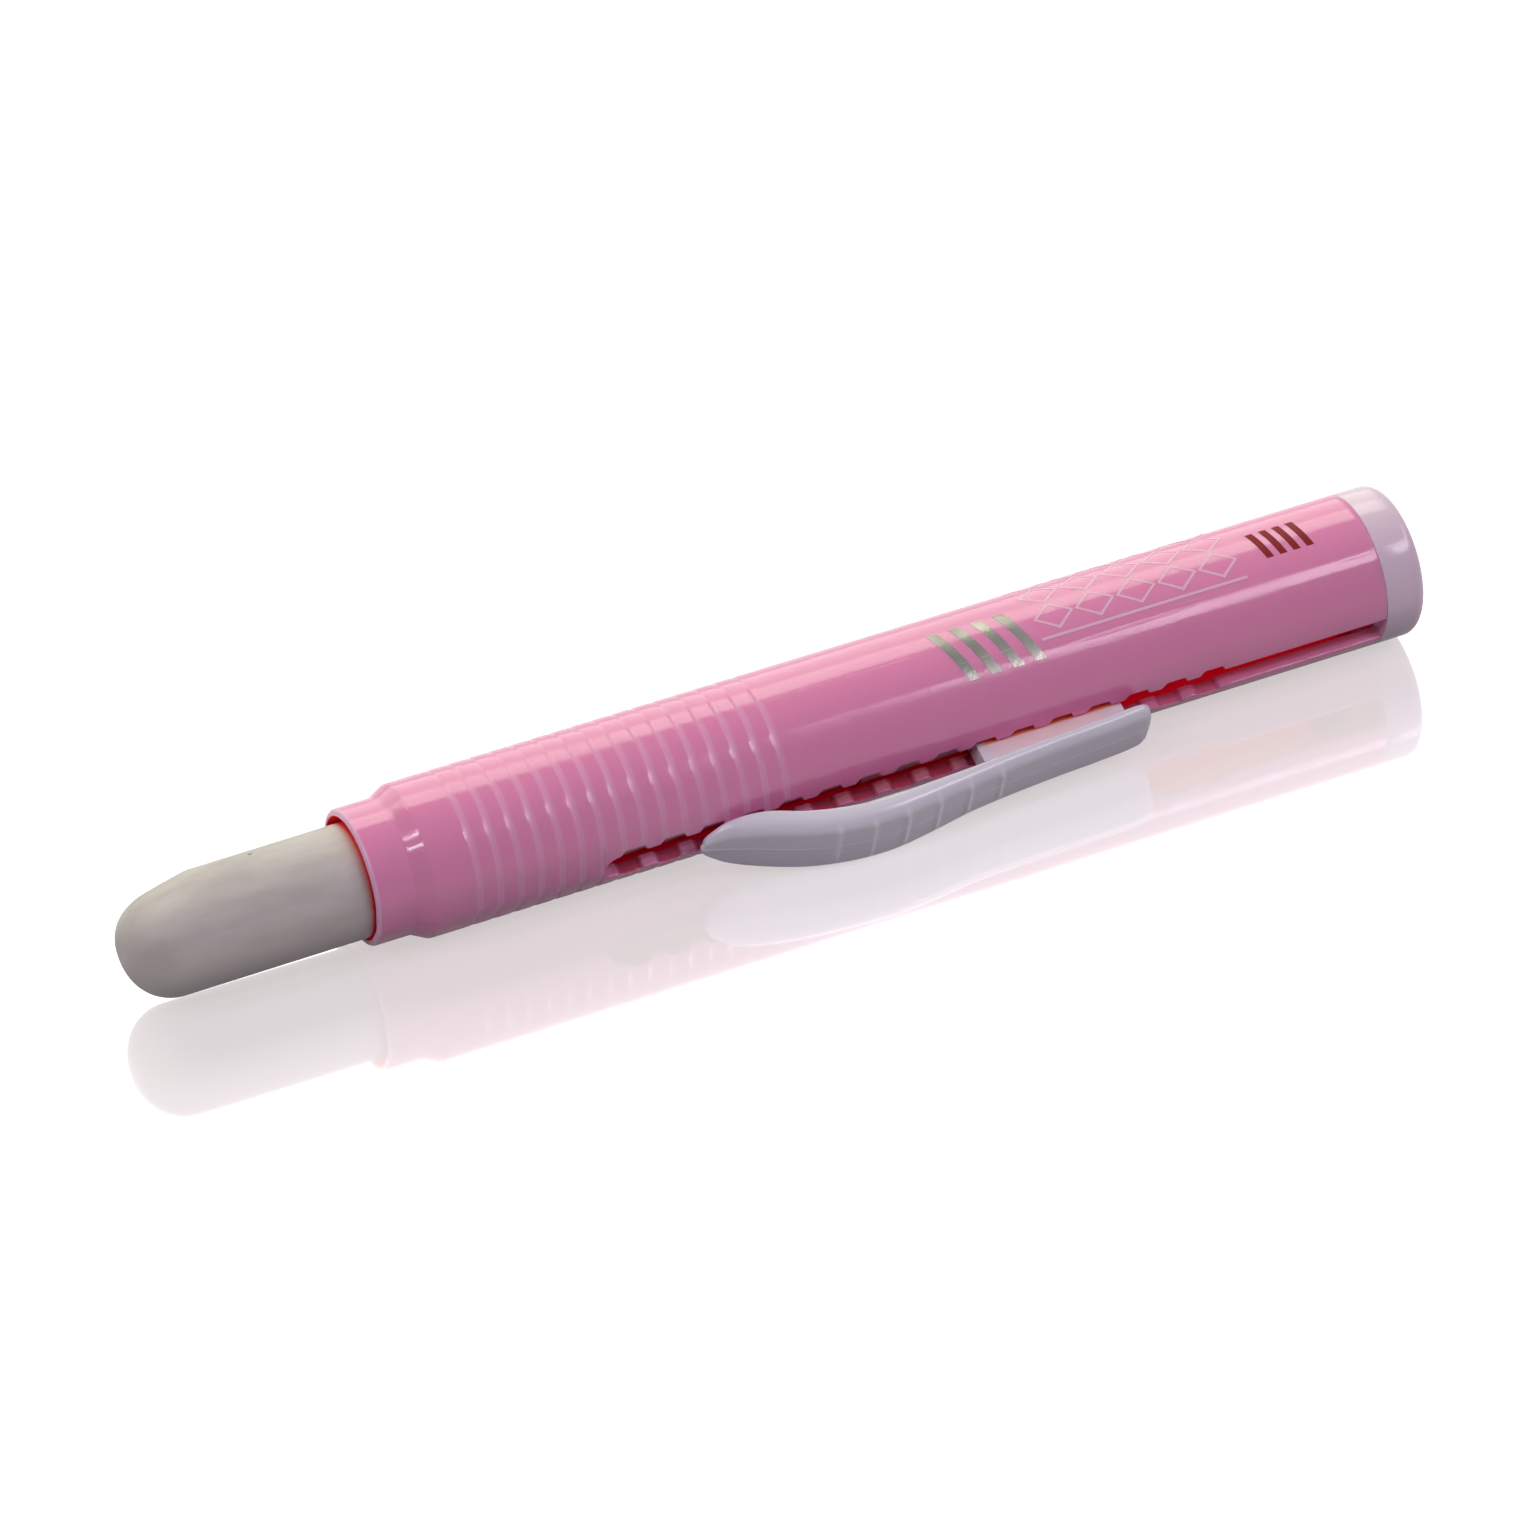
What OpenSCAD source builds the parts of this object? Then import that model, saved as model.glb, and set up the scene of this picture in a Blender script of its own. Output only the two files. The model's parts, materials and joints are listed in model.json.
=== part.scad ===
// Retractable eraser holder, pen style: a notched barrel, a rear cap, a clip that
// is pressed and slid along the slot, and a round eraser stick held by a carriage.
// Lengths along the barrel are measured from its mouth towards the rear cap.

/* [Barrel] */
// Length from the mouth to the rear edge
barrel_l = 76.8; // [76.8:0.2:84]
// Wall of the barrel
barrel_wall = 1.02; // [0.8:0.02:1.1]
// Wall of the collar at the mouth
collar_wall = 0.47; // [0.4:0.01:0.6]
// Length of the collar
collar_l = 2.9; // [2:0.1:3.5]
// Length of the cone between collar and grip
shoulder_l = 1.2; // [1:0.05:2]
// Rounding of the mouth's outer edge
mouth_round = 0.4; // [0.1:0.05:0.45]

/* [Grip] */
// Number of grooves round the grip
groove_count = 16; // [8:1:16]
// Place of the first groove
groove_first = 7.22; // [6:0.02:8]
// Spacing of the grooves
groove_pitch = 1.53; // [1.3:0.01:1.6]
// Width of a groove at the surface
groove_w = 0.58; // [0.4:0.02:0.8]
// Width of the floor of a groove
groove_floor_w = 0.18; // [0.1:0.02:0.3]
// Depth of a groove
groove_depth = 0.06; // [0.04:0.01:0.1]

/* [Slot] */
// Width of the slot
slot_w = 2.1; // [2:0.05:2.3]
// Place of the slot's round front end
slot_front = 16.54; // [15:0.02:17]
// Number of notches along each side of the slot
notch_count = 16; // [13:1:17]
// Place of the first notch
notch_first = 18.75; // [18.2:0.05:19.5]
// Spacing of the notches
notch_pitch = 2.957; // [2.8:0.001:3.1]
// Length of a notch at its bottom
notch_l = 1.38; // [1.3:0.02:1.6]
// Depth of a notch into the side of the slot
notch_depth = 0.38; // [0.3:0.02:0.5]
// Length of the notch's front slope
notch_front = 0.4; // [0.2:0.02:0.5]
// Length of the notch's rear slope
notch_rear = 0.2; // [0.1:0.02:0.3]

/* [Rear cap] */
// Length of the cap behind the barrel
cap_l = 3.2; // [2.5:0.1:5]
// Rounding of the cap's rear edge
cap_round = 0.9; // [0.4:0.1:1.5]
// Length of the plug inside the barrel
plug_l = 2.2; // [2:0.1:3]
// Wall of the hollow plug
plug_wall = 1; // [0.7:0.1:1.5]
// Thickness of the cap's rear wall
cap_end_t = 1.2; // [1:0.1:1.8]

/* [Eraser] */
// Diameter of the eraser stick, which the holder is made round
eraser_d = 8.1; // [7.6:0.05:9]
// Length that stands out of the mouth
eraser_out = 16.85; // [14:0.05:19]
// Rounding of the eraser's tip
tip_round = 3.4; // [2:0.1:3.7]
// Length of the rubbed face, measured back from the tip
wear_l = 5.7; // [4:0.1:7]
// Slope of the rubbed face
wear_slope = 13; // [8:1:16]
// Length of the rubbed face before it rounds over
wear_flat = 3; // [2:0.1:4]
// Radius that the rubbed face rounds over with
wear_r = 4.6; // [4.4:0.1:5.2]
// Turn of the rubbed face round the stick, from the clip's side
wear_turn = 150; // [0:5:355]
// Slope of the stick, which leans on the lower edge of the mouth
droop = 0.32; // [0:0.02:0.34]

/* [Carriage] */
// Notch that the latch rests in, counted from the front
rest_notch = 9; // [9:1:9]
// Depth of the socket that grips the eraser
socket_depth = 7; // [5:0.1:9]
// Wall of the socket
socket_wall = 0.55; // [0.4:0.05:0.7]
// Thickness of the web between socket and pocket
web_t = 1; // [0.8:0.1:1.5]
// Thickness of the wall behind the pocket
rear_wall_t = 1.2; // [0.8:0.1:1.3]
// Room for the latch spring under the foot
spring_room = 1.6; // [1.3:0.1:2]

/* [Clip] */
// Length of the neck along the slot
neck_l = 11.1; // [10:0.1:11.2]
// Length from the neck's front to the tip of the nose
nose_reach = 21.3; // [19:0.1:22]
// Length from the neck's front to the end of the tail
tail_reach = 12.7; // [12.4:0.1:14]
// Width of the tail
clip_w = 4.3; // [3.8:0.1:5]
// Width of the thumb pad
pad_w = 5; // [4.4:0.1:5.6]
// Thickness of the tail
clip_t = 1; // [0.8:0.05:1.2]
// Thickness of the thumb pad
pad_t = 1.7; // [1.3:0.05:2]
// Height of the thumb pad above the barrel
pad_rise = 2.25; // [1.8:0.05:2.6]
// Gap between nose and barrel
nose_gap = 0.1; // [0.05:0.01:0.2]
// Gap between the end of the tail and the barrel
tail_gap = 0.95; // [0.9:0.05:1.3]
// Rounding of the clip's outer edges
clip_round = 0.5; // [0.2:0.05:0.6]
// Number of ribs across the thumb pad
rib_count = 6; // [3:1:6]
// Place of the rearmost rib, measured back from the neck's front
rib_rear = 0.5; // [0:0.1:1]
// Spacing of the ribs, which follow it towards the nose
rib_pitch = 2.56; // [2:0.02:2.6]
// Height of a rib above the pad
rib_rise = 0.14; // [0.05:0.01:0.25]

/* [Foot and latch] */
// Width of the foot that the slot's edges hold in
foot_w = 3.4; // [3:0.1:3.6]
// Thickness of the foot
foot_t = 0.8; // [0.6:0.05:1]
// Thickness of the latch spring
leaf_t = 0.5; // [0.3:0.05:0.6]
// Length of an ear of the latch spring
ear_l = 1.2; // [0.8:0.05:1.25]
// Height that an ear reaches into its notch
ear_rise = 0.44; // [0.3:0.02:0.48]

/* [Clearances] */
// Gap round the stick at the mouth
mouth_gap = 0.35; // [0.3:0.01:0.4]
// Gap round the stick in the barrel
stick_gap = 0.43; // [0.4:0.01:0.6]
// Gap all round the carriage in the barrel
carriage_gap = 0.18; // [0.12:0.01:0.24]
// Gap on each side of the neck in the slot
neck_gap = 0.15; // [0.08:0.01:0.2]
// Gap round the cap's plug
plug_gap = 0.02; // [0.01:0.01:0.05]
// Gap round the eraser's end in its socket
socket_gap = 0.03; // [0.02:0.01:0.05]
// Gap between pieces that rest on each other
seat_gap = 0.02; // [0.01:0.01:0.05]
// Gap between the foot and the barrel's bore
foot_gap = 0.14; // [0.1:0.01:0.2]

/* [Hidden] */
$fn = 96;

// The mouth and the bore are the stick's size with room round it
eraser_r = eraser_d / 2;
mouth_r = eraser_r + mouth_gap;
collar_r = mouth_r + collar_wall;
bore_r = eraser_r + stick_gap;
barrel_r = bore_r + barrel_wall;
slot_half = slot_w / 2;
notch_half = slot_half + notch_depth;
carriage_r = bore_r - carriage_gap;
socket_r = carriage_r - socket_wall;
tail_r = socket_r - socket_gap;

// The latch sits in one pair of notches, and the neck, carriage and clip follow it
latch_x = notch_first + rest_notch * notch_pitch;
neck_front = latch_x - ear_l / 2;
neck_rear = neck_front + neck_l;
pocket_front = neck_front - 0.25;
pocket_rear = neck_rear - rear_wall_t;
socket_floor = pocket_front - web_t;
carriage_front = socket_floor - socket_depth;
neck_half = slot_half - neck_gap;
pocket_half = foot_w / 2 + 0.25;
foot_top = sqrt(pow(bore_r, 2) - pow(foot_w / 2, 2)) - foot_gap;
foot_under = foot_top - foot_t;
pocket_floor = foot_under - spring_room;
foot_front = neck_front + ear_l + 0.6;
foot_rear = pocket_rear - 0.4;
ear_top = sqrt(pow(bore_r, 2) - pow(notch_half - 0.05, 2)) + ear_rise;

// Stations of the clip: place from the neck's front, gap to the barrel, thickness, half width
clip_stations = [
    [-nose_reach, nose_gap + 0.2, 0.35, 0.35],
    [-nose_reach + 0.5, nose_gap + 0.05, 0.6, 0.2 * pad_w],
    [-nose_reach + 2, nose_gap, 0.65 * pad_t, 0.4 * pad_w],
    [-nose_reach + 4.5, nose_gap + 0.15 * pad_rise, pad_t, 0.49 * pad_w],
    [-0.65 * nose_reach, 0.65 * pad_rise, pad_t, pad_w / 2],
    [-0.5 * nose_reach, 0.94 * pad_rise, 0.95 * pad_t, pad_w / 2],
    [-0.36 * nose_reach, pad_rise, 0.91 * pad_t, pad_w / 2],
    [-0.22 * nose_reach, 0.91 * pad_rise, 0.83 * pad_t, 0.3 * pad_w + 0.2 * clip_w],
    [-0.08 * nose_reach, 0.8 * pad_rise, 0.4 * pad_t + 0.55 * clip_t, clip_w / 2],
    [0.1 * tail_reach, tail_gap + 0.65, 1.1 * clip_t, clip_w / 2],
    [0.4 * tail_reach, tail_gap + 0.45, clip_t, clip_w / 2],
    [0.7 * tail_reach, tail_gap + 0.25, clip_t, clip_w / 2],
    [tail_reach - 0.8, tail_gap + 0.05, 0.95 * clip_t, 0.48 * clip_w],
    [tail_reach, tail_gap + 0.05, 0.7 * clip_t, 0.36 * clip_w]
];
clip_steps = 4;
corner_steps = 4;

// The holder rolls onto one side until the edge of the thumb pad meets the table
pad_edge = [pad_w / 2 - clip_round, barrel_r + pad_rise + 0.91 * pad_t - clip_round];
rest_tilt = asin((barrel_r - clip_round) / norm(pad_edge)) - atan2(pad_edge[0], pad_edge[1]);
rib_edge = [pad_edge[0], pad_edge[1] + clip_round + rib_rise];
side_reach = rib_edge[0] * sin(rest_tilt) + rib_edge[1] * cos(rest_tilt);
origin_x = (barrel_l + cap_l - eraser_out) / 2;
origin_y = (barrel_r - side_reach) / 2;

// Cubic curve through the clip's stations, in column c, at t between stations i and i + 1
function slope(i, c) =
    let (a = clip_stations[max(i - 1, 0)], b = clip_stations[min(i + 1, len(clip_stations) - 1)])
    (b[c] - a[c]) / (b[0] - a[0]);
function on_curve(i, t, c) =
    let (a = clip_stations[i], b = clip_stations[i + 1], h = b[0] - a[0])
    (2 * pow(t, 3) - 3 * pow(t, 2) + 1) * a[c] + (pow(t, 3) - 2 * pow(t, 2) + t) * h * slope(i, c)
    + (3 * pow(t, 2) - 2 * pow(t, 3)) * b[c] + (pow(t, 3) - pow(t, 2)) * h * slope(i + 1, c);
function span_at(x) = max([for (i = [0 : len(clip_stations) - 2]) clip_stations[i][0] <= x ? i : 0]);
function clip_at(x, c) =
    let (i = span_at(x), a = clip_stations[i][0], b = clip_stations[i + 1][0])
    on_curve(i, (x - a) / (b - a), c);

// One quarter of a rounded corner, centred on c, from angle a
function corner(c, r, a) = [for (k = [0 : corner_steps])
    c + r * [cos(a + 90 * k / corner_steps), sin(a + 90 * k / corner_steps)]];

// Cross-section of the clip: across the barrel and out from its axis
function clip_ring(under, t, half) =
    let (o = min(clip_round, 0.45 * t, 0.9 * half), q = 0.6 * o, top = under + t)
    concat(corner([half - o, top - o], o, 0), corner([o - half, top - o], o, 90),
        corner([q - half, under + q], q, 180), corner([half - q, under + q], q, 270));

// Lays the upright holder on the table, with the origin under its middle
module laid_down() {
    translate([-origin_x, -origin_y, barrel_r]) rotate([90 + rest_tilt, 0, 0]) children();
}

// Turns a profile of [place, radius] points round the barrel's axis
module turned(points) {
    rotate([0, 90, 0]) rotate_extrude() polygon([for (p = points) [p[1], p[0]]]);
}

function arc(c, r, a, b, n) = [for (k = [0 : n])
    c + r * [cos(a + (b - a) * k / n), sin(a + (b - a) * k / n)]];

function groove_points(x) = [
    [x - groove_w / 2, barrel_r], [x - groove_floor_w / 2, barrel_r - groove_depth],
    [x + groove_floor_w / 2, barrel_r - groove_depth], [x + groove_w / 2, barrel_r]
];

module barrel_outside() {
    turned(concat(
        [[0, 0]],
        arc([mouth_round, collar_r - mouth_round], mouth_round, 180, 90, 6),
        [[collar_l, collar_r], [collar_l + shoulder_l, barrel_r]],
        [for (i = [0 : groove_count - 1]) each groove_points(groove_first + i * groove_pitch)],
        [[barrel_l, barrel_r], [barrel_l, 0]]
    ));
}

// Outline of one side of the slot, from its front to past the barrel's rear edge
function slot_side() = concat(
    [[slot_front + slot_half, slot_half]],
    [for (i = [0 : notch_count - 1]) let (x = notch_first + i * notch_pitch, h = notch_l / 2) each [
        [x - h - notch_front, slot_half], [x - h, notch_half],
        [x + h, notch_half], [x + h + notch_rear, slot_half]
    ]],
    [[barrel_l + 1, slot_half]]
);

module slot_cut() {
    side = slot_side();
    n = len(side) - 1;
    linear_extrude(barrel_r + 1) {
        polygon(concat(side, [for (i = [0 : n]) [side[n - i][0], -side[n - i][1]]]));
        translate([slot_front + slot_half, 0]) circle(slot_half);
    }
}

module barrel() {
    color("#d989b4") laid_down() difference() {
        barrel_outside();
        translate([-1, 0, 0]) rotate([0, 90, 0]) cylinder(h = barrel_l + 2, r = mouth_r);
        translate([collar_l + shoulder_l, 0, 0]) rotate([0, 90, 0]) cylinder(h = barrel_l, r = bore_r);
        slot_cut();
    }
}

module end_cap() {
    cap_r = barrel_r;
    plug_r = bore_r - plug_gap;
    rear = barrel_l + cap_l;
    hollow_r = plug_r - plug_wall;
    color("#c9c2cf") laid_down() turned(concat(
        [[barrel_l - plug_l, hollow_r], [barrel_l - plug_l, plug_r], [barrel_l, plug_r], [barrel_l, cap_r]],
        arc([rear - cap_round, cap_r - cap_round], cap_round, 90, 0, 8),
        [[rear, 0], [rear - cap_end_t, 0], [rear - cap_end_t, hollow_r]]
    ));
}

module eraser_carriage() {
    color("#b9b3bd") laid_down() difference() {
        translate([carriage_front, 0, 0]) rotate([0, 90, 0])
            cylinder(h = neck_rear - carriage_front, r = carriage_r);
        translate([carriage_front - 1, 0, 0]) rotate([0, 90, 0])
            cylinder(h = socket_depth + 1, r = socket_r);
        translate([pocket_front, -pocket_half, pocket_floor])
            cube([pocket_rear - pocket_front, 2 * pocket_half, barrel_r]);
        translate([pocket_rear - 1, -slot_half, foot_under + 0.2])
            cube([rear_wall_t + 2, slot_w, barrel_r]);
    }
}

// The stick before use: a straight rod with a rounded tip and a squeezed end in the socket
module new_stick() {
    step = carriage_front - 0.1;
    turned(concat(
        [[-eraser_out, 0]],
        arc([tip_round - eraser_out, eraser_r - tip_round], tip_round, 180, 90, 16),
        [[step - 0.3, eraser_r], [step, tail_r], [socket_floor - 0.1, tail_r], [socket_floor - 0.1, 0]]
    ));
}

// What rubbing has left of the tip: all that lies inside a tilted rod with a round end
module rubbed_end() {
    start = wear_l - eraser_out;
    translate([start, 0, eraser_r]) rotate([0, -wear_slope, 0]) translate([0, 0, -wear_r])
        turned(concat([[-wear_flat - wear_r, 0]], arc([-wear_flat, 0], wear_r, 172.5, 90, 11),
            [[wear_l, wear_r], [wear_l, 0]]));
    translate([start + 1, 0, 0]) rotate([0, 90, 0]) cylinder(h = barrel_l, r = eraser_r + 1);
}

module eraser_stick() {
    // It tips about the middle of its socket
    grip = [carriage_front + socket_depth / 2 - origin_x, 0, barrel_r];
    color("#c4bbbd") translate(grip) rotate([0, -droop, 0]) translate(-grip)
        laid_down() intersection() {
            new_stick();
            rotate([-wear_turn, 0, 0]) rubbed_end();
        }
}

module clip_strip() {
    spans = len(clip_stations) - 1;
    stops = concat([for (i = [0 : spans - 1], k = [0 : clip_steps - 1]) [i, k / clip_steps]],
        [[spans - 1, 1]]);
    rings = [for (s = stops)
        let (ring = clip_ring(barrel_r + on_curve(s[0], s[1], 1), on_curve(s[0], s[1], 2),
            on_curve(s[0], s[1], 3)), x = neck_front + on_curve(s[0], s[1], 0))
        [for (p = ring) [x, p[0], p[1]]]];
    m = len(rings[0]);
    n = len(rings);
    polyhedron(
        points = [for (ring = rings) each ring],
        faces = concat(
            [[for (j = [0 : m - 1]) j]],
            [[for (j = [0 : m - 1]) n * m - 1 - j]],
            [for (i = [0 : n - 2], j = [0 : m - 1]) each
                [[i * m + j, (i + 1) * m + j, i * m + (j + 1) % m],
                [i * m + (j + 1) % m, (i + 1) * m + j, (i + 1) * m + (j + 1) % m]]]
        )
    );
}

// Neck through the slot, whose top follows the underside of the clip
module clip_neck() {
    step = bore_r + 0.05;
    top = [for (k = [0 : 6]) let (x = k * neck_l / 6)
        [neck_front + x, barrel_r + clip_at(x, 1) + 0.4 * clip_t]];
    translate([0, neck_half, 0]) rotate([90, 0, 0]) linear_extrude(2 * neck_half) polygon(concat(
        [[neck_rear, step], [foot_rear, step], [foot_rear, foot_under], [neck_front, foot_under]], top));
}

module thumb_clip() {
    color("#c9c2cf") laid_down() {
        clip_strip();
        clip_neck();
        translate([foot_front, -foot_w / 2, foot_under]) cube([foot_rear - foot_front, foot_w, foot_t]);
        for (i = [0 : rib_count - 1]) {
            x = rib_rear - i * rib_pitch;
            half = clip_at(x, 3) - clip_round;
            translate([neck_front + x, half, barrel_r + clip_at(x, 1) + clip_at(x, 2) + rib_rise - 0.3])
                rotate([90, 0, 0]) cylinder(h = 2 * half, r = 0.3, $fn = 24);
        }
    }
}

module latch_spring() {
    low = pocket_floor + seat_gap;
    high = foot_under - seat_gap;
    front = neck_front + ear_l;
    back = pocket_rear - 0.1;
    bend = front + 0.45 * (back - front);
    ear_in = neck_half + 0.07;
    ear_out = notch_half - 0.05;
    color("#b9b3bd") laid_down() {
        translate([0, ear_out, 0]) rotate([90, 0, 0]) linear_extrude(2 * ear_out) polygon([
            [neck_front, high], [front, high], [bend, low + leaf_t], [back, low + leaf_t],
            [back, low], [bend - 0.1, low], [front - 0.1, high - leaf_t], [neck_front, high - leaf_t]
        ]);
        for (side = [-1, 1]) translate([neck_front, side > 0 ? ear_in : -ear_out, high - leaf_t])
            cube([ear_l, ear_out - ear_in, ear_top - high + leaf_t]);
    }
}

barrel();
end_cap();
eraser_carriage();
eraser_stick();
thumb_clip();
latch_spring();
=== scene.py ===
# %% [markdown]
# # A pen-style retractable eraser
# A pink plastic barrel holds a round grey eraser. A grey clip is pressed and slid along a notched slot, and
# pushes the eraser out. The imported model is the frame: it says where every piece sits and how it moves.
# Everything made here takes its place from that frame, so nothing is fitted by hand afterwards.

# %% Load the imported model
import json
import math
import bmesh
import bpy
import numpy as np
from mathutils import Matrix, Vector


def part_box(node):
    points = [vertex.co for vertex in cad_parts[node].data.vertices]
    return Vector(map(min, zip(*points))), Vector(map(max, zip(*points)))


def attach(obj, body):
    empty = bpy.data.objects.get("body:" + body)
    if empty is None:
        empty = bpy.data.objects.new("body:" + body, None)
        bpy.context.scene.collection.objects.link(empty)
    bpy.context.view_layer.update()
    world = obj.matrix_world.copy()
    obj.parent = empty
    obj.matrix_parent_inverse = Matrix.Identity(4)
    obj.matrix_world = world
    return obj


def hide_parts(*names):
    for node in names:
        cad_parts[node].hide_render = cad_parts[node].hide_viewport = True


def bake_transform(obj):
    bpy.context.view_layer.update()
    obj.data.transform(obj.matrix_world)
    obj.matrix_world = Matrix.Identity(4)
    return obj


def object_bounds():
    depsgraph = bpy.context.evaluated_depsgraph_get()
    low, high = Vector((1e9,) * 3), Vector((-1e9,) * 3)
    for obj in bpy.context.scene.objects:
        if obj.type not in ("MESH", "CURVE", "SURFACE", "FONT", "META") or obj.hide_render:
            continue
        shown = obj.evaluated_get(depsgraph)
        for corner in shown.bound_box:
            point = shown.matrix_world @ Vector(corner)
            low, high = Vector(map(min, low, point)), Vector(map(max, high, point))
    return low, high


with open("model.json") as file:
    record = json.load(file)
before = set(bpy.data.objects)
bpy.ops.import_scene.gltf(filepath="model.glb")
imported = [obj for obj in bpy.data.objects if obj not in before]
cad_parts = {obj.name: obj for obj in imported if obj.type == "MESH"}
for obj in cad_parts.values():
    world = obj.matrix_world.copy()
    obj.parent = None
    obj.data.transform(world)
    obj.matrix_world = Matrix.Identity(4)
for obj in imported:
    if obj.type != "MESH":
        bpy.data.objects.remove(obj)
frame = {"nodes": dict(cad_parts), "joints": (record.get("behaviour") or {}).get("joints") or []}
CAD_LOW, CAD_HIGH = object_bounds()
print("CAD box in mm:", [round(v * 1000, 2) for v in (*CAD_LOW, *CAD_HIGH)])

# %% [markdown]
# ## Directions of the barrel
# The holder lies on the table, rolled onto the edge of its clip, so the slot looks down and sideways. All
# pieces are easier to describe in the barrel's own directions: along it from the mouth, out through the
# middle of the slot, and across. The hinge of the clip lies across, so its axis gives the directions.

# %% Measure the barrel and its directions
MM = 0.001
barrel_low, barrel_high = (np.array(corner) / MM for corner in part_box("barrel"))
BARREL_R = (barrel_high[2] - barrel_low[2]) / 2
BARREL_L = barrel_high[0] - barrel_low[0]
MOUTH = np.array([barrel_low[0], (barrel_low[1] + barrel_high[1]) / 2, barrel_low[2] + BARREL_R])
ALONG = np.array([1.0, 0.0, 0.0])
ACROSS = np.array(next(j["axis"] for j in frame["joints"] if j["name"] == "clip_press"), float)
OUT = np.cross(ALONG, ACROSS)


def placed(x, out, across):
    """Point in metres at x along the barrel from its mouth, out through the slot and across, all in mm."""
    x, out, across = np.broadcast_arrays(x, out, across)
    return MM * (MOUTH + x[..., None] * ALONG + out[..., None] * OUT + across[..., None] * ACROSS)


def round_barrel(x, r, turn):
    """Point at x along the barrel, r from its axis and turn round it: r cos(turn) out, r sin(turn) across."""
    return placed(x, r * np.cos(turn), r * np.sin(turn))


print(f"Barrel: {2 * BARREL_R:.2f} mm across, {BARREL_L:.2f} mm long, mouth at", MOUTH.round(3))

# %% [markdown]
# ## The camera
# The picture was taken from above the mouth end, from about 60 cm, with a long lens. The camera is described
# the way a photographer would: its place from the mouth, how far it looks along the barrel, and its roll.

# %% Place the camera
CAMERA_RISE = math.radians(38.65)
CAMERA_BEFORE_MOUTH, CAMERA_OUT, CAMERA_DOWN = 158.67, 563.43, 1.21
CAMERA_YAW = math.radians(18.593)
CAMERA_ROLL = math.radians(17.173)
CAMERA_LENS = 201.83
towards = np.array([0, -math.cos(CAMERA_RISE), math.sin(CAMERA_RISE)])
below = np.array([0, -math.sin(CAMERA_RISE), -math.cos(CAMERA_RISE)])
level = math.cos(CAMERA_YAW) * ALONG + math.sin(CAMERA_YAW) * towards
forward = math.sin(CAMERA_YAW) * ALONG - math.cos(CAMERA_YAW) * towards
right = math.cos(CAMERA_ROLL) * level + math.sin(CAMERA_ROLL) * below
down = math.cos(CAMERA_ROLL) * below - math.sin(CAMERA_ROLL) * level
camera_place = MM * (MOUTH - CAMERA_BEFORE_MOUTH * ALONG + CAMERA_OUT * towards + CAMERA_DOWN * below)


def turned_to(axis_x, axis_y, axis_z, place):
    """Matrix of an object at place whose own three axes point the given ways."""
    m = np.eye(4)
    m[:3, 0], m[:3, 1], m[:3, 2], m[:3, 3] = axis_x, axis_y, axis_z, place
    return Matrix(m)


def link_in(name, data):
    """Puts a new object with this data into the scene."""
    made = bpy.data.objects.new(name, data)
    bpy.context.scene.collection.objects.link(made)
    return made


camera = link_in("camera", bpy.data.cameras.new("camera"))
camera.matrix_world = turned_to(right, -down, -forward, camera_place)
camera.data.lens = CAMERA_LENS
camera.data.sensor_width = 36
camera.data.clip_start, camera.data.clip_end = 0.05, 20
bpy.context.scene.camera = camera
print("Camera at", camera_place.round(4), "looking", forward.round(3))

# %% [markdown]
# ## From a grid of points to a closed piece
# Every piece below is a surface over two parameters, worked out as one array of points. Three helpers turn
# such arrays into a piece: one makes the quads of a grid, one turns a closed shell the right way out, and
# one joins shells, closes seams and poles by merging the points that coincide, and files the piece.


# %% Grid and piece helpers
def grid_quads(rows, cols, wrap_rows=False, wrap_cols=False, start=0):
    """Quads of a grid whose point (i, j) is number start + i * cols + j; a wrapped side closes on itself."""
    i = np.arange(rows if wrap_rows else rows - 1)[:, None]
    j = np.arange(cols if wrap_cols else cols - 1)[None, :]
    i2, j2 = (i + 1) % rows, (j + 1) % cols
    corners = np.broadcast_arrays(i * cols + j, i * cols + j2, i2 * cols + j2, i2 * cols + j)
    return start + np.stack(corners, axis=-1).reshape(-1, 4)


def outward(points, quads):
    """Turns the shell over if its volume, summed over the faces as pyramids from the origin, is negative."""
    a, b, c, d = (points[quads[:, k]] for k in range(4))
    volume = np.einsum("ij,ij->", a, np.cross(b, c)) + np.einsum("ij,ij->", a, np.cross(c, d))
    return quads if volume > 0 else quads[:, ::-1]


def make_piece(name, shells, body=None, stands_for=(), sharp=35.0):
    """Joins closed shells (points, quads) into one piece, merges coinciding points and smooths all but sharp edges."""
    starts = np.cumsum([0] + [len(points) for points, quads in shells])
    points = np.concatenate([points for points, quads in shells])
    quads = np.concatenate([outward(p, q) + n for (p, q), n in zip(shells, starts)])
    mesh = bpy.data.meshes.new(name)
    mesh.from_pydata(points.tolist(), [], quads.tolist())
    bm = bmesh.new()
    bm.from_mesh(mesh)
    bmesh.ops.remove_doubles(bm, verts=bm.verts, dist=2e-7)
    bmesh.ops.dissolve_degenerate(bm, edges=bm.edges, dist=1e-8)
    open_edges = sum(not e.is_manifold for e in bm.edges)
    bm.to_mesh(mesh)
    bm.free()
    mesh.shade_smooth()
    mesh.set_sharp_from_angle(angle=math.radians(sharp))
    made = link_in(name, mesh)
    if body:
        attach(made, body)
    if stands_for:
        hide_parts(*stands_for)
    triangles = sum(len(p.vertices) - 2 for p in mesh.polygons)
    print(f"{name}: {triangles} triangles, {open_edges} open edges")
    return made


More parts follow.
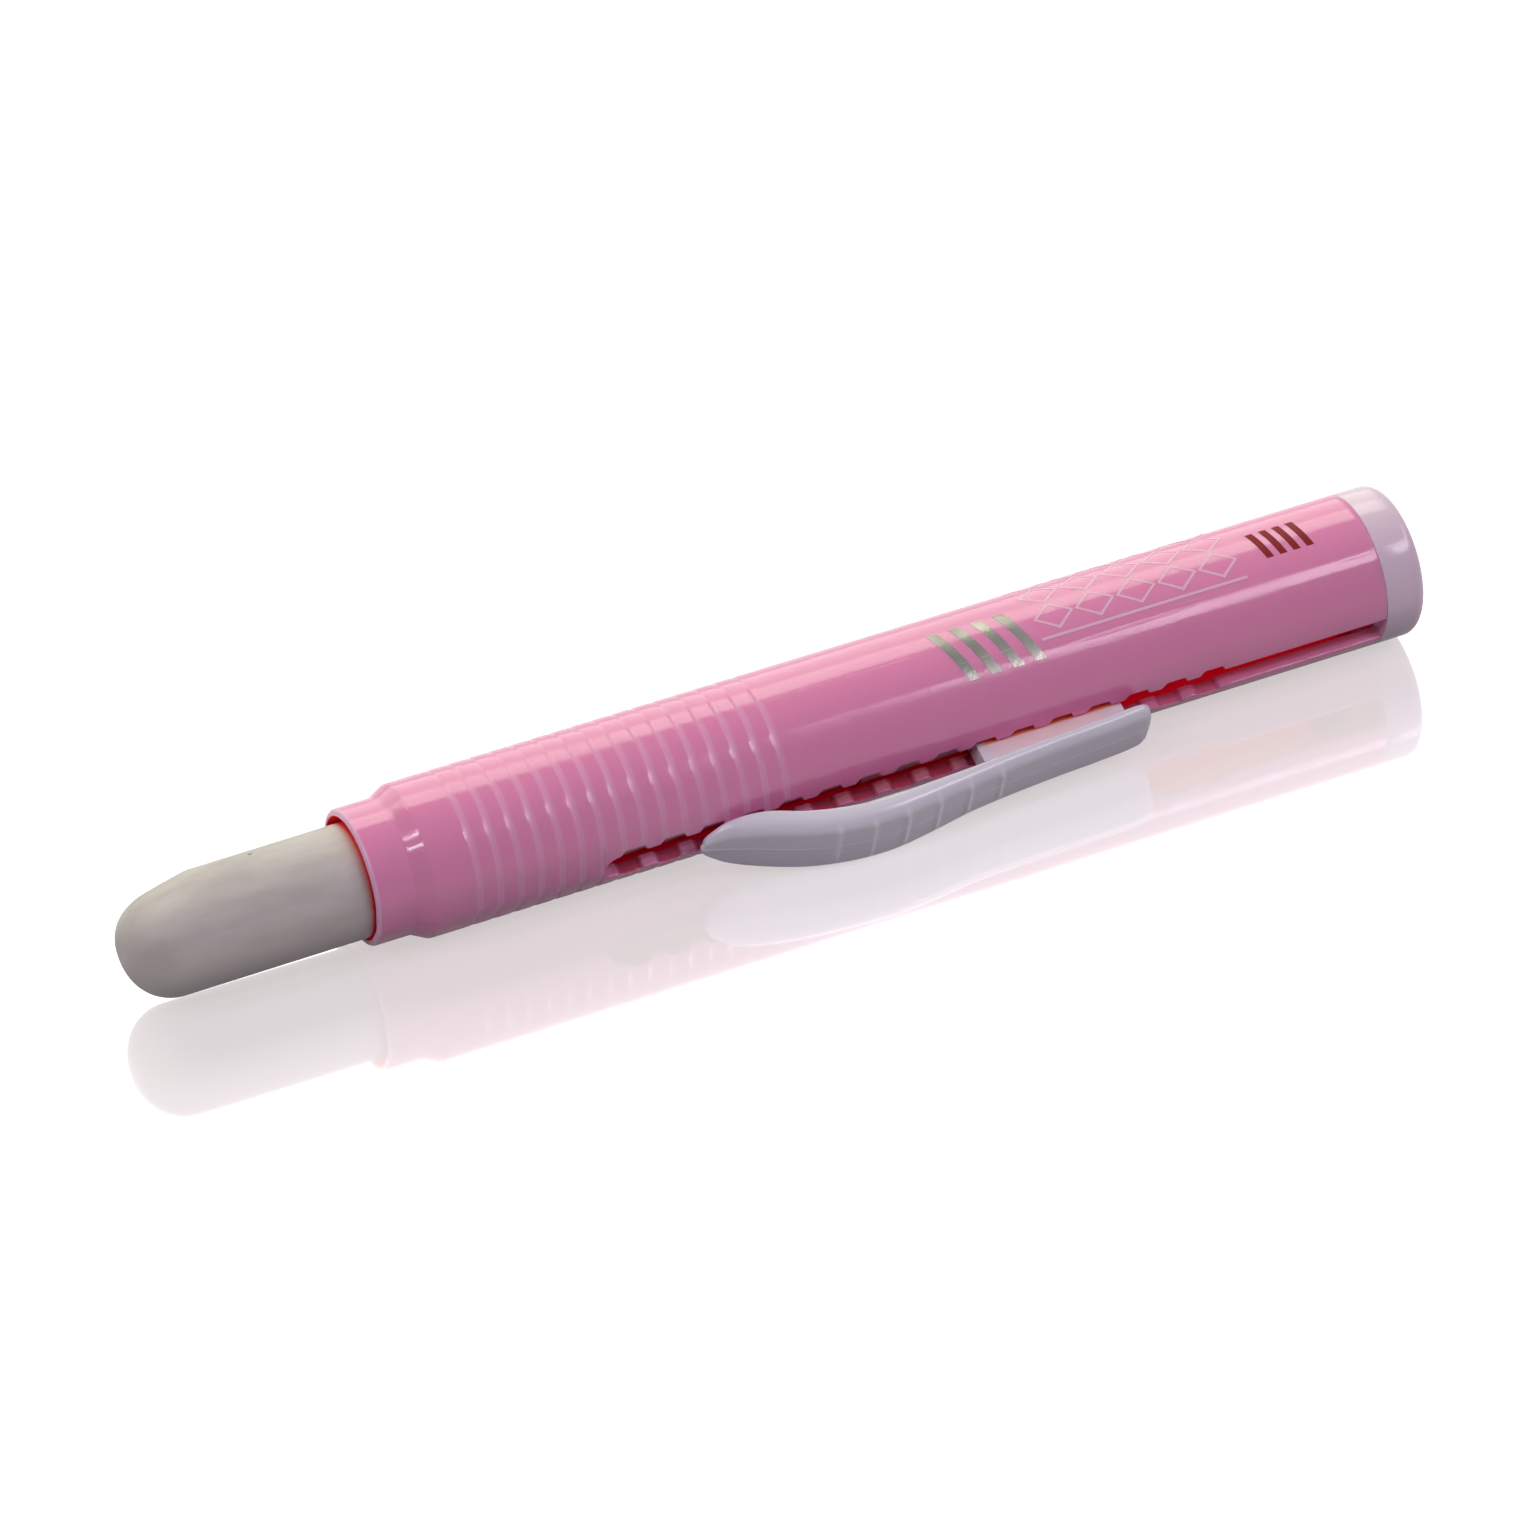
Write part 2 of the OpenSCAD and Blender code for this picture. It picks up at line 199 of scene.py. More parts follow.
def mesh_points(made):
    """The piece's points as an array, in metres."""
    co = np.empty(len(made.data.vertices) * 3, np.float32)
    made.data.vertices.foreach_get("co", co)
    return co.reshape(-1, 3)


def store(made, **masks):
    """Stores values, one for each point, under their names, for the materials to read."""
    for name, values in masks.items():
        made.data.attributes.new(name, "FLOAT", "POINT").data.foreach_set("value", values.astype(np.float32))


def arc(centre_x, centre_r, radius, start, end, steps):
    """Points (x, r) on an arc from angle start to angle end, in degrees, both ends included."""
    a = np.radians(np.linspace(start, end, steps + 1))
    return np.stack([centre_x + radius * np.cos(a), centre_r + radius * np.sin(a)], axis=1)


def eased(t):
    """Smooth step: 0 below 0, 1 above 1, and 3t² - 2t³ between."""
    t = np.clip(t, 0, 1)
    return t * t * (3 - 2 * t)


def softened(x, corners_x, corners_y, width):
    """A broken line with rounded corners: its mean over a window of the given width."""
    window = np.linspace(-0.5, 0.5, 9) * width
    return np.mean([np.interp(x + shift, corners_x, corners_y) for shift in window], axis=0)


# %% [markdown]
# ## Barrel: its outline
# The barrel is one moulding. Along it, the outside is a short collar, a cone and a long cylinder with
# sixteen shallow grip grooves near the front, with soft flanks that catch the lamps. The outline is a radius
# for each place along the barrel, as a lathe would follow it.

# %% Barrel outline
MOUTH_R, COLLAR_R, BORE_R = 4.4, 4.87, 4.48
COLLAR_L, SHOULDER_L, CONE_SOFT = 2.9, 1.2, 0.24
LIP_ROUND, LIP_INSIDE = 0.3, 0.06
GROOVE_COUNT, GROOVE_FIRST, GROOVE_PITCH = 16, 7.22, 1.53
GROOVE_HALF, GROOVE_FLOOR_HALF, GROOVE_DEPTH, GROOVE_SOFT = 0.29, 0.04, 0.04, 0.2
REAR_ROUND = 0.12


def off_groove(x):
    """Distance of x from the middle of the nearest groove."""
    nearest = np.clip(np.round((x - GROOVE_FIRST) / GROOVE_PITCH), 0, GROOVE_COUNT - 1)
    return np.abs(x - GROOVE_FIRST - nearest * GROOVE_PITCH)


def groove_share(x):
    """1 on the floor of the nearest groove, 0 on the lands, and a soft flank between."""
    return softened(off_groove(x), [GROOVE_FLOOR_HALF, GROOVE_HALF], [1, 0], GROOVE_SOFT)


def barrel_radius(x):
    """Outside radius at x: collar, cone and cylinder with soft corners, less the depth of the grooves."""
    cone_end = COLLAR_L + SHOULDER_L
    body = softened(x, [0, COLLAR_L, cone_end, BARREL_L], [COLLAR_R, COLLAR_R, BARREL_R, BARREL_R], CONE_SOFT)
    return body - GROOVE_DEPTH * groove_share(x)


# %% [markdown]
# ## Barrel: its slot
# The slot has a round front end and sixteen notches along each side, where the latch can rest. Its half
# width is a function of the place along the barrel too. The rim is rounded: near the slot the outside drops
# by a quarter circle of the distance to the rim, which is measured in the plane that looks into the slot.

# %% Slot outline
SLOT_HALF, SLOT_FRONT = 1.05, 16.54
NOTCH_COUNT, NOTCH_FIRST, NOTCH_PITCH = 16, 18.75, 2.957
NOTCH_HALF_L, NOTCH_DEPTH, NOTCH_FRONT, NOTCH_REAR = 0.69, 0.38, 0.4, 0.2
NOTCH_SOFT = 0.12
RIM_ROUND = 0.15
notch_x = NOTCH_FIRST + np.arange(NOTCH_COUNT) * NOTCH_PITCH
notch_shape = [(-NOTCH_HALF_L - NOTCH_FRONT, 0), (-NOTCH_HALF_L, NOTCH_DEPTH),
               (NOTCH_HALF_L, NOTCH_DEPTH), (NOTCH_HALF_L + NOTCH_REAR, 0)]
slot_corner_x = np.concatenate([notch_x[:, None] + [x for x, y in notch_shape]]).ravel()
slot_corner_y = np.tile([SLOT_HALF + y for x, y in notch_shape], NOTCH_COUNT)


def slot_half_width(x):
    """Half width of the slot at x: none before it, a half circle at its front, then notched sides."""
    round_end = np.sqrt(np.maximum(SLOT_HALF**2 - (SLOT_FRONT + SLOT_HALF - x) ** 2, 0))
    sides = softened(x, slot_corner_x, slot_corner_y, NOTCH_SOFT)
    half = np.where(x < SLOT_FRONT + SLOT_HALF, round_end, sides)
    return np.where(x > SLOT_FRONT, half, 0.0)


rim_x = np.concatenate([SLOT_FRONT + SLOT_HALF * (1 - np.cos(np.linspace(0, math.pi / 2, 120))),
                        np.arange(SLOT_FRONT + SLOT_HALF, BARREL_L + 0.3, 0.02)])
rim_y = slot_half_width(rim_x)


def rim_drop(x, across):
    """How far the outside drops near the rim: a quarter circle of the distance to the nearest rim point."""
    x, across = np.broadcast_arrays(x, across)
    flat_x, flat_y = x.ravel(), np.abs(across).ravel()
    near = np.array([np.min(np.hypot(rim_x - a, rim_y - b)) for a, b in zip(flat_x, flat_y)]).reshape(x.shape)
    gap = np.clip(RIM_ROUND - near, 0, RIM_ROUND)
    return RIM_ROUND - np.sqrt(RIM_ROUND**2 - gap**2)


print(f"Slot: {len(notch_x)} notches from {notch_x[0]:.2f} to {notch_x[-1]:.2f} mm")

# %% [markdown]
# ## Barrel: one skin
# The skin is a grid. One parameter follows the section of the wall: over the lip, back along the outside,
# over the rear edge and forward along the bore. The other goes round the barrel, from one side of the slot
# to the other. Ahead of the slot both sides meet in a seam, and behind it two strips make the slot's walls.

# %% Barrel stations and rows
groove_x = GROOVE_FIRST + np.arange(GROOVE_COUNT) * GROOVE_PITCH
groove_side = np.array([0.06, 0.09, 0.12, 0.2, 0.26, 0.29, 0.315, 0.34, 0.37])
groove_steps = np.concatenate([-groove_side, [0], groove_side])
notch_steps = np.concatenate([np.arange(-1.19, -0.58, 0.08), [-0.2, 0.2], np.arange(0.6, 0.99, 0.07)])
front_steps = SLOT_HALF * (1 - np.cos(np.radians(np.arange(0, 91, 9))))
rim_steps = np.array([-0.16, -0.13, -0.1, -0.06, -0.03])
stations = np.concatenate([
    np.arange(0.6, COLLAR_L + SHOULDER_L + 0.6, 0.11), (groove_x[:, None] + groove_steps).ravel(),
    SLOT_FRONT + front_steps, SLOT_FRONT + rim_steps, (notch_x[:, None] + notch_steps).ravel(),
    np.arange(30, BARREL_L - 0.5, 1.0), [BARREL_L - 0.4, SLOT_FRONT]])
stations = np.unique(stations.round(4))
keep = np.concatenate([[True], np.diff(stations) > 0.015]) | (stations == SLOT_FRONT)
stations = stations[keep & (stations < BARREL_L - REAR_ROUND - 0.05)]
rear_edge = arc(BARREL_L - REAR_ROUND, BARREL_R - REAR_ROUND, REAR_ROUND, 90, 0, 4)

RIM_ROWS = np.array([0, 0.012, 0.03, 0.055, 0.085, 0.12, 0.16, 0.26])
PLAIN_FROM = math.radians(26)
PLAIN_ROWS = np.linspace(PLAIN_FROM, 2 * math.pi - PLAIN_FROM, 73)


def row_turns(x, r):
    """Angle of each row at each station: close rows beside the rim at set distances from it, even ones elsewhere."""
    half = slot_half_width(x)[:, None] + RIM_ROWS
    near = np.arcsin(np.clip(half / r[:, None], 0, 1))
    plain = np.broadcast_to(PLAIN_ROWS, (len(x), len(PLAIN_ROWS)))
    return np.concatenate([near, plain, 2 * math.pi - near[:, ::-1]], axis=1)


# %% Barrel skin
outer_x = np.concatenate([stations, rear_edge[:, 0]])
outer_r = np.concatenate([barrel_radius(stations), rear_edge[:, 1]])
in_slot = np.flatnonzero(outer_x >= SLOT_FRONT - 1e-6)
outer_turn = row_turns(outer_x, outer_r)
outer_across = outer_r[:, None] * np.sin(outer_turn)
drop = np.zeros_like(outer_turn)
near_rows = np.r_[0:len(RIM_ROWS), outer_turn.shape[1] - len(RIM_ROWS):outer_turn.shape[1]]
near_stations = np.flatnonzero(outer_x > SLOT_FRONT - 0.3)
block = np.ix_(near_stations, near_rows)
drop[block] = rim_drop(np.broadcast_to(outer_x[near_stations, None], outer_across[block].shape), outer_across[block])
drop[np.ix_(in_slot, [0, -1])] = RIM_ROUND
outer = round_barrel(outer_x[:, None], outer_r[:, None] - drop, outer_turn)

inner_x = outer_x[in_slot][::-1]
inner = round_barrel(inner_x[:, None], BORE_R, row_turns(inner_x, np.full(len(inner_x), BORE_R)))
mouth = np.concatenate([
    [[SLOT_FRONT - 4, BORE_R], [COLLAR_L + SHOULDER_L, BORE_R], [COLLAR_L + SHOULDER_L, MOUTH_R], [1, MOUTH_R]],
    arc(LIP_INSIDE, MOUTH_R + LIP_INSIDE, LIP_INSIDE, -90, -180, 3),
    arc(LIP_ROUND, COLLAR_R - LIP_ROUND, LIP_ROUND, 180, 90, 8)])
mouth_skin = round_barrel(mouth[:, :1], mouth[:, 1:], row_turns(mouth[:, 0], mouth[:, 1]))
skin = np.concatenate([outer, inner, mouth_skin])
cols = skin.shape[1]
skin_quads = grid_quads(len(skin), cols, wrap_rows=True)

outer_ids = in_slot
inner_ids = len(outer) + np.arange(len(inner))[::-1]
near_wall = np.stack([outer_ids[:-1] * cols, inner_ids[:-1] * cols, inner_ids[1:] * cols, outer_ids[1:] * cols], axis=1)
far_wall = near_wall[:, ::-1] + cols - 1
barrel = make_piece("barrel_moulding", [(skin.reshape(-1, 3), np.concatenate([skin_quads, near_wall, far_wall]))],
                    "holder", ["barrel"], sharp=40)

# %% [markdown]
# ## Barrel: where it is duller, where light is painted, and where it lies deep
# The moulding is one plastic, but its grooves are duller, and its colour carries painted light: a painted sheen on
# the grooves and the lip, and painted red light inside, where light comes through the wall. Four numbers are stored
# on every point, worked out from its place, and the plastic reads them below.

# %% Barrel masks
PALE_HALF, SHEEN_FADE_TURN = 0.36, 112


def barrel_masks(made):
    """For each point: its depth in the wall, 0 outside to 1 in the bore; how much it is duller and painted paler by a
    sheen, on the lip and in the grooves, the grooves fading on the side away from the slot; if it is beside the slot's
    far edge behind the notches; and if it is in a notch."""
    co = mesh_points(made) / MM - MOUTH
    x, across = co[:, 0], np.abs(co @ ACROSS)
    r = np.hypot(co[:, 1], co[:, 2])
    outside = barrel_radius(x)
    depth = np.clip((outside - r - RIM_ROUND) / (outside - BORE_R - RIM_ROUND), 0, 1)
    depth = np.where(x < SLOT_FRONT - 1, np.where(r < MOUTH_R + 0.12, 1.0, 0.0), depth)
    # The lip is painted paler: a painted reflection on its rounded front.
    lip = eased((LIP_ROUND - x) / 0.12)
    turn = np.degrees(np.arctan2(co @ ACROSS, co @ OUT))
    # Painted sheen on the grooves, fading on the side away from the slot.
    painted_sheen = eased((PALE_HALF - off_groove(x)) / 0.2) * eased((SHEEN_FADE_TURN - np.abs(turn)) / 25)
    half = slot_half_width(x)
    on_wall = (x > SLOT_FRONT + SLOT_HALF) & (co @ OUT > 0) & (across < half + 0.005)
    return {"depth": depth, "pale": np.where(depth > 0, 0.0, np.maximum(painted_sheen, 2.2 * lip)),
            "edge": np.where(turn < 0, eased((turn + 46) / 10), 0.0) * eased((x - notch_x[-1] - 0.6) / 1.2),
            "notch": np.where(on_wall, np.clip((half - SLOT_HALF) / NOTCH_DEPTH, 0, 1), 0.0)}


store(barrel, **barrel_masks(barrel))

# %% [markdown]
# ## Rear cap
# The cap is a plain turned shape: a disc with a rounded rear edge and a hollow plug that presses into the
# barrel. A profile carried round the axis gives it. A fine rounding where it meets the barrel leaves the
# hairline that shows the two mouldings are separate.

# %% Rear cap
CAP_L, CAP_ROUND, CAP_SEAM = 3.2, 0.9, 0.08
PLUG_L, PLUG_WALL, PLUG_GAP, CAP_END_T = 2.2, 1.0, 0.02, 1.2


def lathe(profile, segments):
    """Carries a profile of (x, r) points that starts and ends on the axis round it; its ends become poles."""
    profile = np.asarray(profile, float)
    turn = np.linspace(0, 2 * math.pi, segments, endpoint=False)
    points = round_barrel(profile[:, :1], profile[:, 1:], turn[None, :])
    return points.reshape(-1, 3), grid_quads(len(profile), segments, wrap_cols=True)


cap_rear = BARREL_L + CAP_L
plug_r = BORE_R - PLUG_GAP
cap_profile = np.concatenate([
    [[cap_rear - CAP_END_T, 0], [cap_rear - CAP_END_T, plug_r - PLUG_WALL], [BARREL_L - PLUG_L, plug_r - PLUG_WALL],
     [BARREL_L - PLUG_L, plug_r - 0.2], [BARREL_L - PLUG_L + 0.2, plug_r], [BARREL_L, plug_r]],
    arc(BARREL_L + CAP_SEAM, BARREL_R - CAP_SEAM, CAP_SEAM, 180, 90, 4),
    [[BARREL_L + 0.6 * CAP_L, BARREL_R]],
    arc(cap_rear - CAP_ROUND, BARREL_R - CAP_ROUND, CAP_ROUND, 90, 0, 12),
    [[cap_rear, 2], [cap_rear, 0]]])
cap = make_piece("rear_cap", [lathe(cap_profile, 128)], "holder", ["end_cap"])

# %% [markdown]
# ## Eraser stick
# Rubber wears where it rubs: the tip has a flat on one side that blends into the round end. The shape is
# all that lies in both a new round-ended rod and a tilted rod. Rays go out from the axis, and each stops
# where the larger of the two distances, blended softly where they are alike, becomes zero.

# %% Eraser stick
ERASER_R, ERASER_OUT, TIP_ROUND = 4.05, 16.85, 3.4
WEAR_L, WEAR_SLOPE, WEAR_FLAT, WEAR_R, WEAR_TURN = 5.7, math.radians(13), 3.0, 4.6, math.radians(150)
WEAR_BLEND = 0.45
GRIP_FRONT, GRIP_L, GRIP_R = 36.513, 7.0, 3.72
DROOP = math.radians(0.32)
tip_x = -ERASER_OUT
wear_start = WEAR_L - ERASER_OUT


def new_rod(x, r):
    """Distance outside a straight rod whose end has a rounded edge: the distance to its core less the rounding."""
    core_x, core_r = tip_x + TIP_ROUND, ERASER_R - TIP_ROUND
    return np.hypot(np.maximum(core_x - x, 0), np.maximum(r - core_r, 0)) - TIP_ROUND


def rubbed_rod(x, r, turn):
    """Distance outside the tilted rod with a ball end that touches the stick where the wear starts."""
    side, up = r * np.sin(turn - WEAR_TURN), r * np.cos(turn - WEAR_TURN) - ERASER_R
    back = x - wear_start
    own_x = back * math.cos(WEAR_SLOPE) + up * math.sin(WEAR_SLOPE)
    own_z = up * math.cos(WEAR_SLOPE) - back * math.sin(WEAR_SLOPE) + WEAR_R
    return np.sqrt(np.maximum(-WEAR_FLAT - own_x, 0) ** 2 + side**2 + own_z**2) - WEAR_R


def worn_rod(x, r, turn):
    """The larger of both distances; where they differ by less than a blend, a quarter of its square is added."""
    first, second = new_rod(x, r), rubbed_rod(x, r, turn)
    blend = WEAR_BLEND * np.clip((wear_start + 1 - x) / 2, 1e-3, 1)
    second = np.where(x < wear_start + 1, second, -WEAR_R)
    return np.maximum(first, second) + np.maximum(blend - np.abs(first - second), 0) ** 2 / (4 * blend)


dome = np.radians(np.linspace(0, 90, 45))
straight = np.linspace(tip_x + ERASER_R, wear_start + 1.5, 34)[1:]
ray_x = np.concatenate([np.full(len(dome), tip_x + ERASER_R), straight])[:, None]
ray_angle = np.concatenate([dome, np.full(len(straight), math.pi / 2)])[:, None]
stick_turn = np.linspace(0, 2 * math.pi, 112, endpoint=False)[None, :]
low = np.zeros((len(ray_x), stick_turn.shape[1]))
high = np.full_like(low, 2 * ERASER_R)
for halving in range(40):
    middle = (low + high) / 2
    outside = worn_rod(ray_x - middle * np.cos(ray_angle), middle * np.sin(ray_angle), stick_turn) > 0
    low, high = np.where(outside, low, middle), np.where(outside, middle, high)
worn = round_barrel(ray_x - low * np.cos(ray_angle), low * np.sin(ray_angle), stick_turn)
rest_profile = np.array([[wear_start + 3, ERASER_R], [-2, ERASER_R], [0, ERASER_R], [2, ERASER_R],
                         [GRIP_FRONT - 0.6, ERASER_R], [GRIP_FRONT - 0.4, ERASER_R - 0.05], [GRIP_FRONT - 0.1, GRIP_R],
                         [GRIP_FRONT + GRIP_L - 0.2, GRIP_R], [GRIP_FRONT + GRIP_L - 0.1, GRIP_R - 0.1],
                         [GRIP_FRONT + GRIP_L - 0.1, 0]])
plain = round_barrel(rest_profile[:, :1], rest_profile[:, 1:], stick_turn)


def drooped(points, pivot):
    """Turns points about the level line across the pivot, so that the front sinks by x times sin(droop)."""
    x, z = points[:, 0] - pivot[0], points[:, 2] - pivot[2]
    turned = points.copy()
    turned[:, 0] = pivot[0] + x * math.cos(DROOP) - z * math.sin(DROOP)
    turned[:, 2] = pivot[2] + x * math.sin(DROOP) + z * math.cos(DROOP)
    return turned


stick_grid = np.concatenate([worn, plain])
stick_points = drooped(stick_grid.reshape(-1, 3), placed(GRIP_FRONT + GRIP_L / 2, 0, 0))
stick_quads = grid_quads(len(stick_grid), stick_grid.shape[1], wrap_cols=True)
stick = make_piece("rubber_stick", [(stick_points, stick_quads)], "carriage", ["eraser_stick"], 50)

# %% [markdown]
# ## Clip: the strip
# The clip is one moulding: a nose that glides on the barrel, a thumb pad arched over it with low ribs, and
# a flat tail. Its section changes all the way, so it is a loft. A cubic curve through a few stations gives
# the gap to the barrel, the thickness and the half width, and a rounded section follows it.

# %% Clip stations
NECK_FRONT, NECK_L = 44.763, 11.1
NOSE_REACH, TAIL_REACH = 21.3, 12.7
CLIP_W, PAD_W, CLIP_T, PAD_T, PAD_RISE = 4.3, 5.0, 1.0, 1.7, 2.25
NOSE_GAP, TAIL_GAP = 0.1, 0.95
clip_stations = np.array([
    [-NOSE_REACH, NOSE_GAP + 0.2, 0.35, 0.35],
    [-NOSE_REACH + 0.5, NOSE_GAP + 0.05, 0.6, 0.2 * PAD_W],
    [-NOSE_REACH + 2, NOSE_GAP, 0.65 * PAD_T, 0.4 * PAD_W],
    [-NOSE_REACH + 4.5, NOSE_GAP + 0.15 * PAD_RISE, PAD_T, 0.49 * PAD_W],
    [-0.65 * NOSE_REACH, 0.65 * PAD_RISE, PAD_T, PAD_W / 2],
    [-0.5 * NOSE_REACH, 0.94 * PAD_RISE, 0.95 * PAD_T, PAD_W / 2],
    [-0.36 * NOSE_REACH, PAD_RISE, 0.91 * PAD_T, PAD_W / 2],
    [-0.22 * NOSE_REACH, 0.91 * PAD_RISE, 0.83 * PAD_T, 0.3 * PAD_W + 0.2 * CLIP_W],
    [-0.08 * NOSE_REACH, 0.8 * PAD_RISE, 0.4 * PAD_T + 0.55 * CLIP_T, CLIP_W / 2],
    [0.1 * TAIL_REACH, TAIL_GAP + 0.65, 1.1 * CLIP_T, CLIP_W / 2],
    [0.4 * TAIL_REACH, TAIL_GAP + 0.45, CLIP_T, CLIP_W / 2],
    [0.7 * TAIL_REACH, TAIL_GAP + 0.25, CLIP_T, CLIP_W / 2],
    [TAIL_REACH - 0.8, TAIL_GAP + 0.05, 0.95 * CLIP_T, 0.48 * CLIP_W],
    [TAIL_REACH, TAIL_GAP + 0.05, 0.7 * CLIP_T, 0.36 * CLIP_W]])


def on_clip(x, column):
    """Cubic curve through the stations: each has the slope of the line between its two neighbours."""
    own_x, own_y = clip_stations[:, 0], clip_stations[:, column]
    before, after = np.maximum(np.arange(len(own_x)) - 1, 0), np.minimum(np.arange(len(own_x)) + 1, len(own_x) - 1)
    slope = (own_y[after] - own_y[before]) / (own_x[after] - own_x[before])
    i = np.clip(np.searchsorted(own_x, x, side="right") - 1, 0, len(own_x) - 2)
    h = own_x[i + 1] - own_x[i]
    t = (x - own_x[i]) / h
    return ((2 * t**3 - 3 * t**2 + 1) * own_y[i] + (t**3 - 2 * t**2 + t) * h * slope[i]
            + (3 * t**2 - 2 * t**3) * own_y[i + 1] + (t**3 - t**2) * h * slope[i + 1])


# %% Clip strip
NEAR_CORNER, NEAR_SWEEP, FAR_CORNER, FAR_SWEEP = 1.0, 1.6, 0.42, 1.0
UNDER_CORNER, TOP_CROWN = 0.25, 0.05
CREST_RISE, CREST_HALF = 0.03, 0.09
RIB_COUNT, RIB_REAR, RIB_PITCH, RIB_RISE, RIB_WIDTH = 6, 0.5, 2.56, 0.12, 0.2
END_ROUND = 0.2
rib_x = RIB_REAR - np.arange(RIB_COUNT) * RIB_PITCH


def clip_section(x):
    """Sections at all x, as arrays across and out: four corner arcs joined by flats. The top corners are long
    ellipses, one larger than the other, and the top rises to its middle line like a low roof with a fine crest."""
    under, thick, half = (on_clip(x, column)[:, None] for column in (1, 2, 3))
    under = under + BARREL_R
    top = under + thick
    near, near_sweep = np.minimum(NEAR_CORNER, 0.5 * half), np.minimum(NEAR_SWEEP, 0.8 * thick)
    far, far_sweep = np.minimum(FAR_CORNER, 0.5 * half), np.minimum(FAR_SWEEP, 0.6 * thick)
    q = np.minimum(np.minimum(UNDER_CORNER, 0.3 * thick), 0.5 * half)
    quarter = np.radians(np.linspace(0, 90, 9))[None, :]
    even = np.linspace(1, -1, 21)[None, 1:-1]
    flat = even * (0.3 + 0.7 * even**2)
    middle = (half - np.where(flat > 0, near, far)) * flat
    across = np.concatenate([
        half - near + near * np.cos(quarter), middle, far - half - far * np.sin(quarter),
        q - half - q * np.cos(quarter), -(half - q) * flat, half - q + q * np.sin(quarter)], axis=1)
    crown = TOP_CROWN * (1 - np.abs(flat)) + CREST_RISE * np.exp(-((middle / CREST_HALF) ** 2))
    out = np.concatenate([
        top - near_sweep + near_sweep * np.sin(quarter), top + crown, top - far_sweep + far_sweep * np.cos(quarter),
        under + q - q * np.sin(quarter), under + 0 * flat, under + q - q * np.cos(quarter)], axis=1)
    return across, out, top, half


def rib_share(x):
    """1 on the crest of a rib, falling off to both sides as a bell curve."""
    return np.exp(-(((x[:, None] - rib_x) / RIB_WIDTH) ** 2)).sum(axis=1)


strip_x = np.arange(-NOSE_REACH, TAIL_REACH + 0.01, 0.085)
across, out, top, half = clip_section(strip_x)
on_top = eased((out - top + 0.3) / 0.3) * eased((half - 0.35 - np.abs(across)) / 0.5)
out = out + RIB_RISE * rib_share(strip_x)[:, None] * on_top
strip_grid = np.stack(np.broadcast_arrays(strip_x[:, None], out, across), axis=-1)


def rounded_end(section, inwards):
    """Closes a loft: the last section shrinks to its middle as sine while it comes forward as one less cosine."""
    a = np.radians(np.linspace(0, 75, 6))[:, None, None]
    middle = section.mean(axis=0)
    shrunk = middle + (section - middle) * np.sin(a)
    shrunk[..., 0] += inwards * END_ROUND * (1 - np.cos(a[..., 0]))
    return shrunk


nose_end = rounded_end(strip_grid[0], 1)
tail_end = rounded_end(strip_grid[-1], -1)[::-1]
strip_grid[0, :, 0] += END_ROUND * 0.9
strip_grid[-1, :, 0] -= END_ROUND * 0.9
loft = np.concatenate([nose_end, strip_grid[:1], strip_grid[3:-3], strip_grid[-1:], tail_end])
loft_points = placed(NECK_FRONT + loft[..., 0], loft[..., 1], loft[..., 2])
strip_shell = (loft_points.reshape(-1, 3), grid_quads(len(loft), loft.shape[1], wrap_cols=True))

# %% [markdown]
# ## Clip: neck and foot
# A straight neck carries the clip through the slot, and a wider foot under the wall keeps it in. Both are
# flat outlines with thickness. Their sections shrink a little at each side, which breaks the edges as a
# mould does.

# %% Clip neck and foot
NECK_HALF, FOOT_HALF, FOOT_T, FOOT_GAP, EDGE_BREAK = 0.9, 1.7, 0.8, 0.14, 0.08
EAR_L, REAR_WALL_T = 1.2, 1.2
NECK_REAR = NECK_FRONT + NECK_L
foot_top = math.sqrt(BORE_R**2 - FOOT_HALF**2) - FOOT_GAP
foot_under = foot_top - FOOT_T
foot_front = NECK_FRONT + EAR_L + 0.6
foot_rear = NECK_REAR - REAR_WALL_T - 0.4


def slab(outline, half, across_middle=0.0):
    """Closed plate from an outline of (x, out): four sections across, the outer two drawn in by the edge break."""
    outline = np.asarray(outline, float)
    middle = outline.mean(axis=0)
    to_edge = outline - middle
    drawn_in = middle + to_edge * (1 - EDGE_BREAK / np.linalg.norm(to_edge, axis=1).min())
    sides = [(drawn_in, -half), (outline, EDGE_BREAK - half), (outline, half - EDGE_BREAK), (drawn_in, half)]
    rings = [placed(o[:, 0], o[:, 1], across_middle + side) for o, side in sides]
    ends = [np.broadcast_to(rings[k].mean(axis=0), rings[k].shape) for k in (0, -1)]
    grid = np.stack([ends[0], *rings, ends[1]])
    return grid.reshape(-1, 3), grid_quads(len(grid), len(outline), wrap_cols=True)


neck_top_x = np.linspace(0, NECK_L, 12)
neck_top = np.stack([NECK_FRONT + neck_top_x, BARREL_R + on_clip(neck_top_x, 1) + 0.3 * CLIP_T], axis=1)
step = BORE_R + 0.05
front_block = [[NECK_FRONT, step], *neck_top, [NECK_REAR, step]]
neck_shell = slab(front_block, NECK_HALF)
stem_shell = slab([[NECK_FRONT, foot_under], [NECK_FRONT, step + 0.1], [foot_rear, step + 0.1],
                   [foot_rear, foot_under]], NECK_HALF)
foot_shell = slab([[foot_front, foot_under], [foot_front, foot_top], [foot_rear, foot_top], [foot_rear, foot_under]],
                  FOOT_HALF)
clip = make_piece("clip_moulding", [strip_shell, neck_shell, stem_shell, foot_shell], "clip",
                  ["thumb_clip"], 40)


